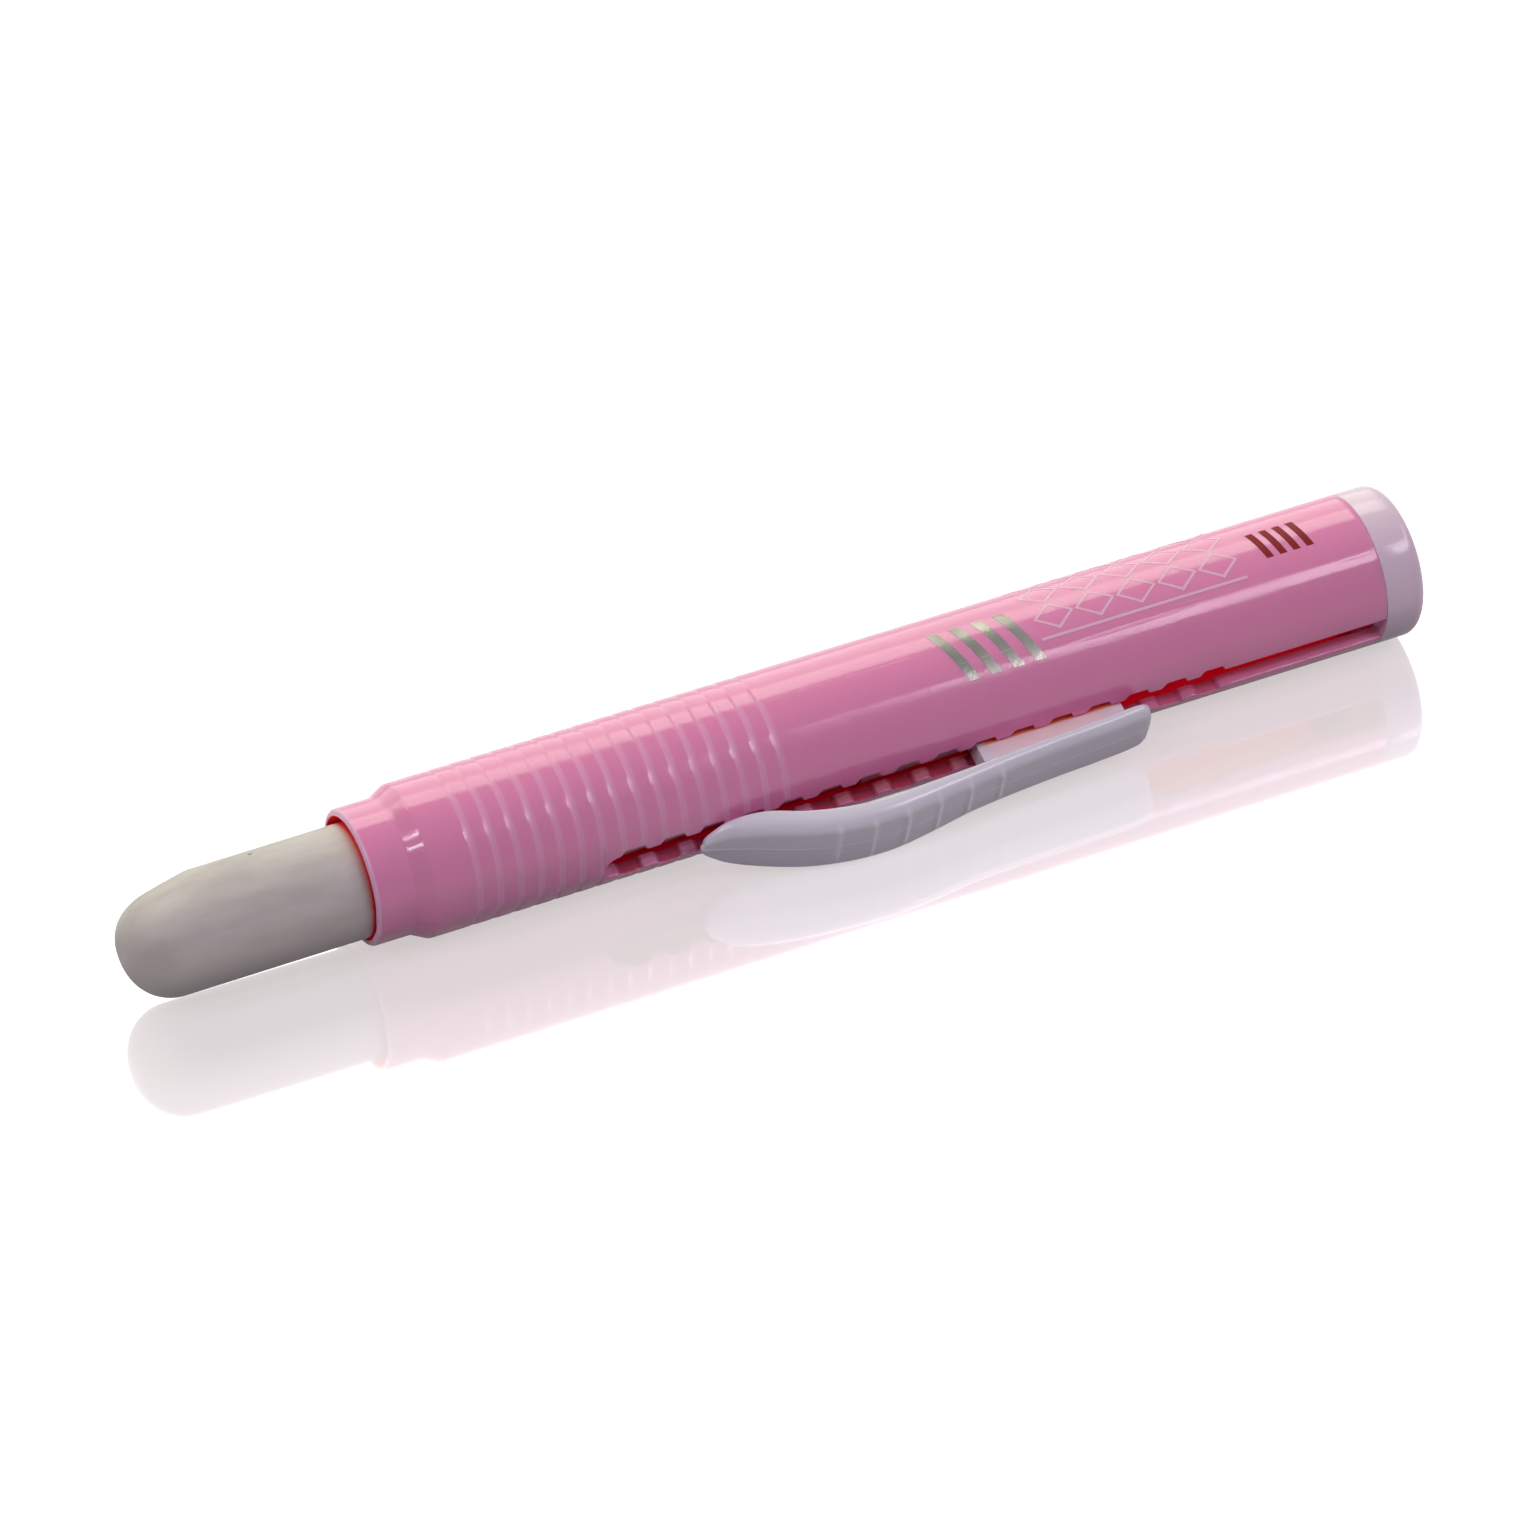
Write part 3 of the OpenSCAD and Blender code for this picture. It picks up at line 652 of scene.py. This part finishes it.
def clip_masks(made):
    """For each point: how much it is on the crest of a rib, and if it is on the side of the neck."""
    co = mesh_points(made) / MM - MOUTH
    x, out, across = co[:, 0] - NECK_FRONT, co @ OUT, co @ ACROSS
    top_out = BARREL_R + on_clip(np.clip(x, -NOSE_REACH, TAIL_REACH - 0.01), 1)
    rib = rib_share(x) * eased((out - top_out - 0.5) / 0.4) * eased((across + 2) / 1.2) * eased((2.4 - across) / 0.5)
    neck = eased((out - BORE_R) / 0.3) * (np.abs(across) < NECK_HALF + 0.01) * (out < top_out + 0.1)
    return {"rib": np.where(x < 1, rib, 0.0), "neck": neck}


store(clip, **clip_masks(clip))

# %% [markdown]
# ## Latch spring
# A thin leaf lies in the carriage's pocket and rises under the foot, with two ears that sit in a pair of
# notches.

# %% Latch spring
LEAF_T, SPRING_ROOM, SEAT_GAP, EAR_RISE = 0.5, 1.6, 0.02, 0.44
NOTCH_HALF = SLOT_HALF + NOTCH_DEPTH
leaf_low = foot_under - SPRING_ROOM + SEAT_GAP
leaf_high = foot_under - SEAT_GAP
leaf_front, leaf_back = NECK_FRONT + EAR_L, NECK_REAR - REAR_WALL_T - 0.1
leaf_bend = leaf_front + 0.45 * (leaf_back - leaf_front)
ear_top = math.sqrt(BORE_R**2 - (NOTCH_HALF - 0.05) ** 2) + EAR_RISE
leaf_x = np.linspace(NECK_FRONT, leaf_back, 40)
leaf_out = leaf_high - (leaf_high - leaf_low - LEAF_T) * eased((leaf_x - leaf_front) / (leaf_bend - leaf_front))
leaf_outline = np.concatenate([np.stack([leaf_x, leaf_out], 1), np.stack([leaf_x, leaf_out - LEAF_T], 1)[::-1]])


def leaf_shell():
    """The leaf: its outline at both sides and at the drawn-in edges, closed by quads from upper to lower line."""
    n = len(leaf_x)
    inset = leaf_outline + np.concatenate([np.full(n, -0.06), np.full(n, 0.06)])[:, None] * [0, 1]
    half = NOTCH_HALF - 0.05
    rings = [placed(o[:, 0], o[:, 1], side) for o, side in
             [(inset, -half), (leaf_outline, 0.06 - half), (leaf_outline, half - 0.06), (inset, half)]]
    grid = np.stack(rings)
    quads = [grid_quads(len(grid), 2 * n, wrap_cols=True)]
    i = np.arange(n - 1)
    side = np.stack([i, i + 1, 2 * n - 2 - i, 2 * n - 1 - i], axis=1)
    quads += [side[:, ::-1], side + 3 * 2 * n]
    return grid.reshape(-1, 3), np.concatenate(quads)


ears = [slab([[NECK_FRONT, leaf_high - LEAF_T + 0.05], [NECK_FRONT, ear_top], [leaf_front, ear_top],
              [leaf_front, leaf_high - LEAF_T + 0.05]], (NOTCH_HALF - 0.05 - NECK_HALF - 0.07) / 2,
             side * (NOTCH_HALF - 0.05 + NECK_HALF + 0.07) / 2) for side in (-1, 1)]
latch = make_piece("latch_leaf", [leaf_shell(), *ears], None, ["latch_spring"])
placed(leaf_back, leaf_low, 0)
placed(leaf_front, leaf_low, 0)
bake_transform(latch)

# %% [markdown]
# ## Printed marks
# The holder carries print in white, silver and dark red. Words and signs stay off, so their places hold plain
# marks: a white lattice of diamonds, slanted silver bars and small red bars. Print is a film of ink, so
# each mark is a very thin sheet with a closed edge, laid on the barrel by wrapping its flat drawing round it.

# %% Print helpers
INK_T, INK_SUNK = 0.012, 0.02


def wrapped(flat, lift):
    """Wraps a flat drawing of (x, distance round the barrel) onto the barrel, raised by lift; 0 round is the slot."""
    return round_barrel(flat[..., 0], BARREL_R + lift, flat[..., 1] / BARREL_R)


def ink_band(first, second, closed=False, steps=6):
    """A sheet of ink between two lines with equal numbers of points, filled by steps straight in-between lines."""
    first, second = np.asarray(first, float), np.asarray(second, float)
    share = np.linspace(0, 1, steps + 1)[:, None, None]
    flat = first * (1 - share) + second * share
    section = np.concatenate([wrapped(flat, INK_T), wrapped(flat[::-1], -INK_SUNK)])
    points = section.transpose(1, 0, 2)
    quads = grid_quads(len(points), 2 * steps + 2, wrap_rows=closed, wrap_cols=True)
    if not closed:
        j = np.arange(steps)
        end = np.stack([j, j + 1, 2 * steps - j, 2 * steps + 1 - j], axis=1)
        quads = np.concatenate([quads, end[:, ::-1], end + (len(points) - 1) * (2 * steps + 2)])
    return points.reshape(-1, 3), quads


def bar(x, turn, length, height, slant):
    """A slanted bar: a parallelogram with its middle at x and at turn millimetres round the barrel."""
    low = [x - length / 2 - slant / 2, turn + height / 2]
    high = [x - length / 2 + slant / 2, turn - height / 2]
    edge = np.linspace(low, high, 13)
    return ink_band(edge, edge + [length, 0.0], steps=3)


def diamond(x, turn, half_l, half_h, line):
    """An outline of a diamond, as a closed band between a larger and a smaller one."""
    corners = np.array([[1, 0], [0, 1], [-1, 0], [0, -1], [1, 0]], float)
    t = np.linspace(0, 4, 33)[:-1]
    unit = np.stack([np.interp(t, range(5), corners[:, k]) for k in (0, 1)], axis=1)
    middle = np.array([x, turn])
    return ink_band(middle + unit * [half_l, half_h], middle + unit * [half_l - 1.6 * line, half_h - 1.6 * line],
                    closed=True, steps=2)


# %% Printed marks
FACING = math.radians(59.5)  # from the slot round to the side that faces the camera
front_line = FACING * BARREL_R
lattice = [diamond(52.6 + 3.2 * i, front_line + 3.3 + 2.5 * j, 1.55, 1.2, 0.16)
           for i in range(5) for j in range(3)]
lattice += [bar(59.0, front_line + turn, 16.0, 0.2, 0) for turn in (1.7, 9.9)]
white_marks = make_piece("white_marks", lattice, "holder")
silver_marks = make_piece("silver_marks", [bar(44.6 + 1.7 * i, front_line + 2.6, 0.8, 4.4, 1.5)
                                           for i in range(4)], "holder")
red_marks = make_piece("red_marks", [bar(69.0 + 1.05 * i, front_line + 3.9, 0.55, 2.6, 0.5) for i in range(4)],
                       "holder")

# %% [markdown]
# ## Finishes
# All mouldings share the same small faults: a slightly cloudy tone, hair scratches along the length and
# patches where hands have dulled the gloss. One node group makes them, and each material sets its own amounts.


# %% Node helpers
def add(tree, kind, values=None, **settings):
    """Adds a node; values maps its input sockets to numbers, colours or other nodes' output sockets."""
    made = tree.nodes.new(kind)
    for name, value in settings.items():
        setattr(made, name, value)
    for name, value in (values or {}).items():
        if isinstance(value, bpy.types.NodeSocket):
            tree.links.new(value, made.inputs[name])
        else:
            made.inputs[name].default_value = value
    return made


def new_group(name, inputs, outputs):
    """An empty shader group with float or vector inputs and outputs; returns its tree, input and output nodes."""
    group = bpy.data.node_groups.new(name, "ShaderNodeTree")
    for side, sockets in (("INPUT", inputs), ("OUTPUT", outputs)):
        for socket, kind in sockets.items():
            group.interface.new_socket(socket, in_out=side, socket_type=kind)
    return group, group.nodes.new("NodeGroupInput"), group.nodes.new("NodeGroupOutput")


def scaled(tree, value, from_low, from_high, to_low, to_high):
    """Maps a value from one range to another and clamps it."""
    made = add(tree, "ShaderNodeMapRange", {"Value": value, "From Min": from_low, "From Max": from_high,
                                            "To Min": to_low, "To Max": to_high})
    return made.outputs["Result"]


def maths(tree, operation, first, second):
    """Two values put together by one operation."""
    return add(tree, "ShaderNodeMath", {0: first, 1: second}, operation=operation).outputs[0]


def times(tree, first, second):
    """Two values multiplied."""
    return maths(tree, "MULTIPLY", first, second)


def mixed(tree, share, first, second):
    """A colour between two colours or sockets."""
    first, second = ((*c, 1) if isinstance(c, tuple) else c for c in (first, second))
    return add(tree, "ShaderNodeMix", {0: share, 6: first, 7: second}, data_type="RGBA").outputs[2]


def mask(tree, name):
    """The values stored on the points under a name."""
    return add(tree, "ShaderNodeAttribute", attribute_name=name).outputs["Fac"]


def object_place(tree):
    """The place on the piece, in its own coordinates."""
    return add(tree, "ShaderNodeTexCoord").outputs["Object"]


def noise(tree, place, scale, **values):
    """Noise over a place, from 0 to 1."""
    return add(tree, "ShaderNodeTexNoise", {"Vector": place, "Scale": scale, **values}).outputs["Fac"]


def fine_bumps(tree, height, strength):
    """Normal of a skin whose bumps are a few hundredths of a millimetre high."""
    return add(tree, "ShaderNodeBump", {"Height": height, "Strength": strength, "Distance": 0.00002}).outputs["Normal"]


def new_material(name):
    """A new material with its tree and its shader."""
    material = bpy.data.materials.new(name)
    material.use_nodes = True
    return material, material.node_tree, material.node_tree.nodes["Principled BSDF"]


# %% Moulded skin group
skin_group, given, result = new_group(
    "moulded_skin", {"Cloud": "NodeSocketFloat", "Gloss": "NodeSocketFloat", "Dulling": "NodeSocketFloat"},
    {"Tone": "NodeSocketFloat", "Roughness": "NodeSocketFloat", "Height": "NodeSocketFloat"})
place = object_place(skin_group)
cloud = noise(skin_group, place, 90.0, Detail=2.0)
swing = times(skin_group, maths(skin_group, "SUBTRACT", cloud, 0.5), given.outputs["Cloud"])
tone = maths(skin_group, "ADD", swing, 1.0)
drawn = add(skin_group, "ShaderNodeMapping", {"Vector": place, "Scale": (60.0, 2600.0, 2600.0)}).outputs["Vector"]
scratch = scaled(skin_group, noise(skin_group, drawn, 1.0, Detail=3.0), 0.62, 0.74, 0.0, 1.0)
patch = scaled(skin_group, noise(skin_group, place, 260.0, Detail=4.0, Distortion=0.8), 0.45, 0.75, 0.0, 1.0)
dulled = times(skin_group, maths(skin_group, "MAXIMUM", patch, scratch), given.outputs["Dulling"])
rough = maths(skin_group, "ADD", dulled, given.outputs["Gloss"])
height = maths(skin_group, "SUBTRACT", noise(skin_group, place, 3200.0, Detail=2.0), scratch)
for socket, value in (("Tone", tone), ("Roughness", rough), ("Height", height)):
    skin_group.links.new(value, result.inputs[socket])


def moulded(name, colour, cloud, gloss, dulling, bump, **constants):
    """A plastic: a colour times the skin group's tone, with its roughness and bumps; returns what can be changed."""
    material, tree, shader = new_material(name)
    group = add(tree, "ShaderNodeGroup", node_tree=skin_group)
    for socket, value in (("Cloud", cloud), ("Gloss", gloss), ("Dulling", dulling)):
        group.inputs[socket].default_value = value
    toned = add(tree, "ShaderNodeVectorMath", {0: colour, "Scale": group.outputs["Tone"]}, operation="SCALE")
    tree.links.new(toned.outputs["Vector"], shader.inputs["Base Color"])
    tree.links.new(group.outputs["Roughness"], shader.inputs["Roughness"])
    tree.links.new(fine_bumps(tree, group.outputs["Height"], bump), shader.inputs["Normal"])
    for socket, value in constants.items():
        shader.inputs[socket.replace("_", " ")].default_value = value
    return material, tree, shader, toned


def linear(red, green, blue):
    """Colour as seen on a screen, 0 to 255, to the linear values that a shader takes."""
    c = np.array([red, green, blue]) / 255
    return tuple(np.where(c <= 0.04045, c / 12.92, ((c + 0.055) / 1.055) ** 2.4))


def dress(made, *materials):
    """Gives a piece its materials."""
    made.data.materials.clear()
    for material in materials:
        made.data.materials.append(material)


# %% [markdown]
# ## Pink barrel plastic
# The pink is slightly translucent, so light that gets into the wall comes out redder. The bore's colour is painted
# light and shade: a dark red of painted shade where the eraser fills it, and a brighter red with a painted glow behind
# the carriage and at the top of the thin mouth, for daylight that comes through the wall. The grooves and the lip are
# duller, and a painted sheen makes them paler, fading on the side away from the slot. The slot's walls are painted
# paler by light and warmer under the clip's tail, and the notches are painted a darker red as shade.

# %% Barrel plastic
PINK, SHEEN_PINK = linear(236, 138, 188), linear(240, 200, 232)
# Reds of painted light and shade for the bore and the notches, painted light on the walls, and painted glows.
BORE_SHADE_RED, BORE_LIGHT_RED, MOUTH_LIGHT_RED = linear(168, 8, 24), linear(208, 8, 16), linear(232, 74, 48)
NOTCH_SHADE_RED, WARM_LIGHT_LAND, WALL_LIGHT_PINK = linear(196, 40, 84), linear(240, 140, 130), linear(246, 170, 212)
PAINTED_DARK_GLOW, PAINTED_BRIGHT_GLOW, PAINTED_MOUTH_GLOW = linear(84, 0, 10), linear(100, 2, 12), linear(140, 36, 20)
BEHIND_CLIP, AT_MOUTH, DAYLIT = (0.018, 0.026), (-0.0305, -0.0265), (0.0075, 0.0095)
TAIL_BEGINS, TAIL_ENDS = (-0.001, 0.003), (0.012, 0.017)
pink_plastic, tree, shader, toned = moulded(
    "pink_plastic", PINK, 0.08, 0.1, 0.1, 0.25, Specular_IOR_Level=0.5, Subsurface_Weight=0.3,
    Subsurface_Radius=(1.0, 0.1, 0.25), Subsurface_Scale=0.0015, Emission_Strength=1.0)
skin_node = next(node for node in tree.nodes if node.type == "GROUP")
place = add(tree, "ShaderNodeSeparateXYZ", {0: object_place(tree)}).outputs
depth = mask(tree, "depth")
in_bore = scaled(tree, depth, 0.9, 0.99, 0.0, 1.0)
on_wall = scaled(tree, depth, 0.0, 0.1, 0.0, 1.0)
behind = scaled(tree, place["X"], *BEHIND_CLIP, 0.0, 1.0)
at_mouth = scaled(tree, place["X"], *AT_MOUTH, 1.0, 0.0)
# Painted daylight: the top of the mouth gets a lighter red and a stronger painted glow.
lit = times(tree, at_mouth, scaled(tree, place["Z"], *DAYLIT, 0.0, 1.0))
under_clip = times(tree, scaled(tree, place["X"], *TAIL_BEGINS, 0.0, 1.0),
                   scaled(tree, place["X"], *TAIL_ENDS, 1.0, 0.0))
pale = mask(tree, "pale")
# Painted sheen: the grooves and the lip are painted paler; the same mask makes them rougher below.
outside = mixed(tree, scaled(tree, pale, 0.0, 2.2, 0.0, 0.66), toned.outputs["Vector"], SHEEN_PINK)
# Painted light makes the slot's walls paler, and warmer under the clip's tail; painted shade makes the notches a darker
# red.
wall = mixed(tree, times(tree, on_wall, 0.6), outside, mixed(tree, under_clip, WALL_LIGHT_PINK, WARM_LIGHT_LAND))
wall = mixed(tree, times(tree, mask(tree, "notch"), scaled(tree, behind, 0.0, 1.0, 0.8, 0.4)), wall, NOTCH_SHADE_RED)
bore = mixed(tree, lit, mixed(tree, behind, BORE_SHADE_RED, BORE_LIGHT_RED), MOUTH_LIGHT_RED)
# Beside the slot's far edge behind the notches the painted red of the bore is mostly left off.
in_bore = times(tree, in_bore, scaled(tree, mask(tree, "edge"), 0.0, 1.0, 1.0, 0.1))
tree.links.new(mixed(tree, in_bore, wall, bore), shader.inputs["Base Color"])
# Painted glow: the bore gives off light of its own, though it is no lamp.
glow = mixed(tree, lit, mixed(tree, behind, PAINTED_DARK_GLOW, PAINTED_BRIGHT_GLOW), PAINTED_MOUTH_GLOW)
tree.links.new(mixed(tree, in_bore, (0.0, 0.0, 0.0), glow), shader.inputs["Emission Color"])
rougher = maths(tree, "ADD", skin_node.outputs["Roughness"], scaled(tree, pale, 0.3, 1.0, 0.0, 0.2))
tree.links.new(rougher, shader.inputs["Roughness"])
dress(barrel, pink_plastic)

# %% [markdown]
# ## Grey plastics, rubber and inks
# Cap and clip are a cool lavender grey, a little less glossy than the barrel. The crests of the ribs carry a painted
# highlight. The neck is painted with pinker light beside the barrel and orange light where it sinks into the slot, and
# the plug of the cap is painted with the red light that comes through the barrel. What is shut in the barrel is painted
# with red light, the more the less open room it has round it. The eraser is matt rubber with a fine grain, soft
# smudges and a few dark crumbs. Silver print is foil.

# %% Grey plastics
cap_plastic, tree, shader, toned = moulded("cap_grey", linear(230, 204, 226), 0.05, 0.14, 0.08, 0.25)
along = add(tree, "ShaderNodeSeparateXYZ", {0: object_place(tree)}).outputs["X"]
rear_x = MOUTH[0] + BARREL_L
# Painted red light: the cap's plug inside the barrel is painted red, for the light that reaches it through the pink
# wall.
plug = scaled(tree, along, MM * (rear_x - 0.3), MM * (rear_x - 0.1), 1.0, 0.0)
tree.links.new(mixed(tree, plug, toned.outputs["Vector"], linear(196, 24, 50)), shader.inputs["Base Color"])
clip_plastic, tree, shader, toned = moulded("clip_grey", linear(230, 225, 240), 0.04, 0.18, 0.04, 0.3)
# Painted highlight: the crests of the ribs are painted paler.
painted_sheen = mixed(tree, times(tree, mask(tree, "rib"), 0.75), toned.outputs["Vector"], linear(240, 238, 250))
# Painted light on the neck: pinker beside the barrel.
beside = mixed(tree, times(tree, mask(tree, "neck"), 0.8), painted_sheen, linear(250, 214, 216))
outwards = add(tree, "ShaderNodeVectorMath", {0: object_place(tree), 1: tuple(OUT)},
               operation="DOT_PRODUCT").outputs["Value"]
skin_out = MM * (MOUTH @ OUT + BARREL_R)
# Painted light: orange where the neck sinks into the slot.
slot_orange_light = times(tree, mask(tree, "neck"), scaled(tree, outwards, skin_out - 0.3 * MM, skin_out - 0.1 * MM, 1.0, 0.0))
tree.links.new(mixed(tree, slot_orange_light, beside, linear(255, 110, 70)), shader.inputs["Base Color"])


# Red light painted on what is shut in the barrel, the more the less open room it has round it.
SHUT_IN_LIGHT, ROOM_REACH, ROOM_RANGE = linear(190, 22, 36), 0.0012, (0.52, 0.8)


def painted_red_light(tree, colour, shader):
    """Paints red light into the colour of what is shut in the barrel, as the light there has come through the pink
    wall.
    """
    room = add(tree, "ShaderNodeAmbientOcclusion", {"Distance": ROOM_REACH}).outputs["AO"]
    red = mixed(tree, scaled(tree, room, *ROOM_RANGE, 1.0, 0.0), colour, SHUT_IN_LIGHT)
    tree.links.new(red, shader.inputs["Base Color"])


carriage_plastic, tree, shader, toned = moulded("carriage_grey", linear(186, 170, 178), 0.06, 0.3, 0.2, 0.4)
painted_red_light(tree, toned.outputs["Vector"], shader)
latch_plastic, tree, shader, toned = moulded("latch_grey", linear(190, 182, 190), 0.05, 0.3, 0.2, 0.4)
painted_red_light(tree, toned.outputs["Vector"], shader)
dress(cap, cap_plastic)
dress(clip, clip_plastic)
dress(latch, latch_plastic)
dress(frame["nodes"]["eraser_carriage"], carriage_plastic)

# %% Rubber
RUBBER, SMUDGE, CRUMB = linear(206, 199, 197), linear(168, 158, 160), linear(84, 76, 78)
rubber, tree, shader = new_material("grey_rubber")
place = object_place(tree)
rubbing = add(tree, "ShaderNodeMapping", {"Vector": place, "Scale": (90.0, 300.0, 300.0)}).outputs["Vector"]
smear = noise(tree, rubbing, 1.0, Detail=5.0, Roughness=0.6)
smudged = mixed(tree, scaled(tree, smear, 0.5, 0.8, 0.0, 0.6), RUBBER, SMUDGE)
spots = add(tree, "ShaderNodeTexVoronoi", {"Vector": place, "Scale": 420.0, "Randomness": 1.0})
rare = add(tree, "ShaderNodeSeparateColor", {0: spots.outputs["Color"]}).outputs[0]
crumbs = times(tree, scaled(tree, spots.outputs["Distance"], 0.04, 0.1, 1.0, 0.0),
               scaled(tree, rare, 0.9, 0.95, 0.0, 0.8))
painted_red_light(tree, mixed(tree, crumbs, smudged, CRUMB), shader)
dents = maths(tree, "SUBTRACT", noise(tree, place, 2200.0, Detail=4.0), crumbs)
tree.links.new(fine_bumps(tree, dents, 0.5), shader.inputs["Normal"])
tree.links.new(scaled(tree, smear, 0.3, 0.7, 0.55, 0.7), shader.inputs["Roughness"])
dress(stick, rubber)

# %% Inks
white_ink, *_ = moulded("white_ink", linear(238, 188, 214), 0.1, 0.35, 0.2, 0.5)
red_ink, *_ = moulded("red_ink", linear(128, 8, 22), 0.2, 0.5, 0.2, 0.5, Specular_IOR_Level=0.25)
silver_foil, *_ = moulded("silver_foil", linear(122, 119, 116), 0.2, 0.22, 0.3, 0.6, Metallic=1.0)
dress(white_marks, white_ink)
dress(red_marks, red_ink)
dress(silver_marks, silver_foil)

# %% [markdown]
# ## Table, lamps and background
# The table is a white glossy sheet that keeps the soft shadow and a faint reflection. Two large soft lamps over
# and behind the holder light its upper side. A smaller one in front, rolled a little, draws the bright line along
# the barrel, one stands at the cap's end, and two narrow panes at the left make the two glints on the cone. The
# camera and reflections see a white room, but reflections see the table with a painted shade right under the holder.

# %% Table
TABLE_SIDE, GLOSS_SHARE, TABLE_LIFT = 6.0, 0.36, 0.9
LINE_X, LINE_Y = (CAD_LOW[0], CAD_HIGH[0]), MM * MOUTH[1]
UNDER_SHADE = (0.004, 0.012)
table_mesh = bpy.data.meshes.new("table")
table_mesh.from_pydata([(-TABLE_SIDE, -TABLE_SIDE, 0), (TABLE_SIDE, -TABLE_SIDE, 0), (TABLE_SIDE, TABLE_SIDE, 0),
                        (-TABLE_SIDE, TABLE_SIDE, 0)], [], [(0, 1, 2, 3)])
table = link_in("table", table_mesh)
table_white, tree, unwanted = new_material("table_white")
tree.nodes.remove(unwanted)
path = add(tree, "ShaderNodeLightPath").outputs
place = object_place(tree)
across_line = add(tree, "ShaderNodeSeparateXYZ", {0: place}).outputs["X"]
on_line = add(tree, "ShaderNodeCombineXYZ", {"X": scaled(tree, across_line, *LINE_X, *LINE_X), "Y": LINE_Y}).outputs[0]
away = add(tree, "ShaderNodeVectorMath", {0: place, 1: on_line}, operation="DISTANCE").outputs["Value"]
mirrored = maths(tree, "MAXIMUM", path["Is Glossy Ray"], path["Is Transmission Ray"])
# Painted shade: reflections see the table darker near the line under the holder.
shaded = times(tree, mirrored, scaled(tree, away, *UNDER_SHADE, 0.25, 1.0))
seen = maths(tree, "MAXIMUM", path["Is Camera Ray"], shaded)
matt = add(tree, "ShaderNodeBsdfDiffuse", {"Color": (0.36, 0.35, 0.37, 1)}).outputs[0]
glow = add(tree, "ShaderNodeEmission", {"Color": (1, 0.95, 0.94, 1),
                                        "Strength": times(tree, seen, TABLE_LIFT)}).outputs[0]
gloss = add(tree, "ShaderNodeBsdfGlossy", {"Color": (0.92, 0.8, 1, 1), "Roughness": 0.06}).outputs[0]
white = add(tree, "ShaderNodeAddShader", {0: matt, 1: glow}).outputs[0]
top = add(tree, "ShaderNodeMixShader", {0: times(tree, path["Is Camera Ray"], GLOSS_SHARE), 1: white,
                                        2: gloss}).outputs[0]
tree.links.new(top, tree.nodes["Material Output"].inputs["Surface"])
dress(table, table_white)


# %% Lamps
LAMP_DISTANCE, SUNNY = 0.9, (0.98, 1.0, 0.77)


def soft_lamp(name, bearing, size, watts, colour, roll=0.0):
    """A rectangular lamp along a bearing from the barrel's middle, facing it, its first side along the barrel and
    then rolled."""
    bearing = np.array(bearing, float)
    bearing /= np.linalg.norm(bearing)
    side = ALONG - bearing * (ALONG @ bearing)
    side /= np.linalg.norm(side)
    side = math.cos(roll) * side + math.sin(roll) * np.cross(bearing, side)
    lamp = bpy.data.lights.new(name, "AREA")
    lamp.shape, lamp.size, lamp.size_y = "RECTANGLE", size[0], size[1]
    lamp.energy, lamp.color = watts, colour
    made = link_in(name, lamp)
    middle = round_barrel(BARREL_L / 2, 0.0, 0.0)
    made.matrix_world = turned_to(side, np.cross(bearing, side), bearing, middle + LAMP_DISTANCE * bearing)
    return made


soft_lamp("over_lamp", (0, 0.598, 0.802), (0.9, 0.38), 3.9, SUNNY)
soft_lamp("back_lamp", (0, 0.92, 0.39), (0.9, 0.6), 2.6, SUNNY)
soft_lamp("line_lamp", (0.5, -0.545, 0.673), (0.3, 0.21), 1.35, (1.0, 0.92, 1.0), math.radians(14))
soft_lamp("side_lamp", (0.755, -0.239, 0.611), (0.2, 0.4), 1.1, (1.0, 0.93, 1.0))
soft_lamp("upper_pane", (-0.616, -0.195, 0.764), (0.4, 0.06), 1.1, (1.0, 0.94, 1.0))
soft_lamp("lower_pane", (-0.616, -0.433, 0.658), (0.46, 0.05), 1.1, (1.0, 0.94, 1.0))

# %% Background
world = bpy.data.worlds.new("room")
bpy.context.scene.world = world
world.use_nodes = True
tree = world.node_tree
path = add(tree, "ShaderNodeLightPath").outputs
seen = maths(tree, "MAXIMUM", path["Is Camera Ray"], path["Is Glossy Ray"])
seen = maths(tree, "MAXIMUM", seen, path["Is Transmission Ray"])
room = add(tree, "ShaderNodeBackground", {"Color": (0.92, 0.9, 1.0, 1), "Strength": 0.06}).outputs[0]
white = add(tree, "ShaderNodeBackground", {"Color": (1, 1, 1, 1), "Strength": 1.0}).outputs[0]
backdrop = add(tree, "ShaderNodeMixShader", {0: seen, 1: room, 2: white}).outputs[0]
tree.links.new(backdrop, tree.nodes["World Output"].inputs["Surface"])
bpy.context.scene.view_settings.view_transform = "Standard"
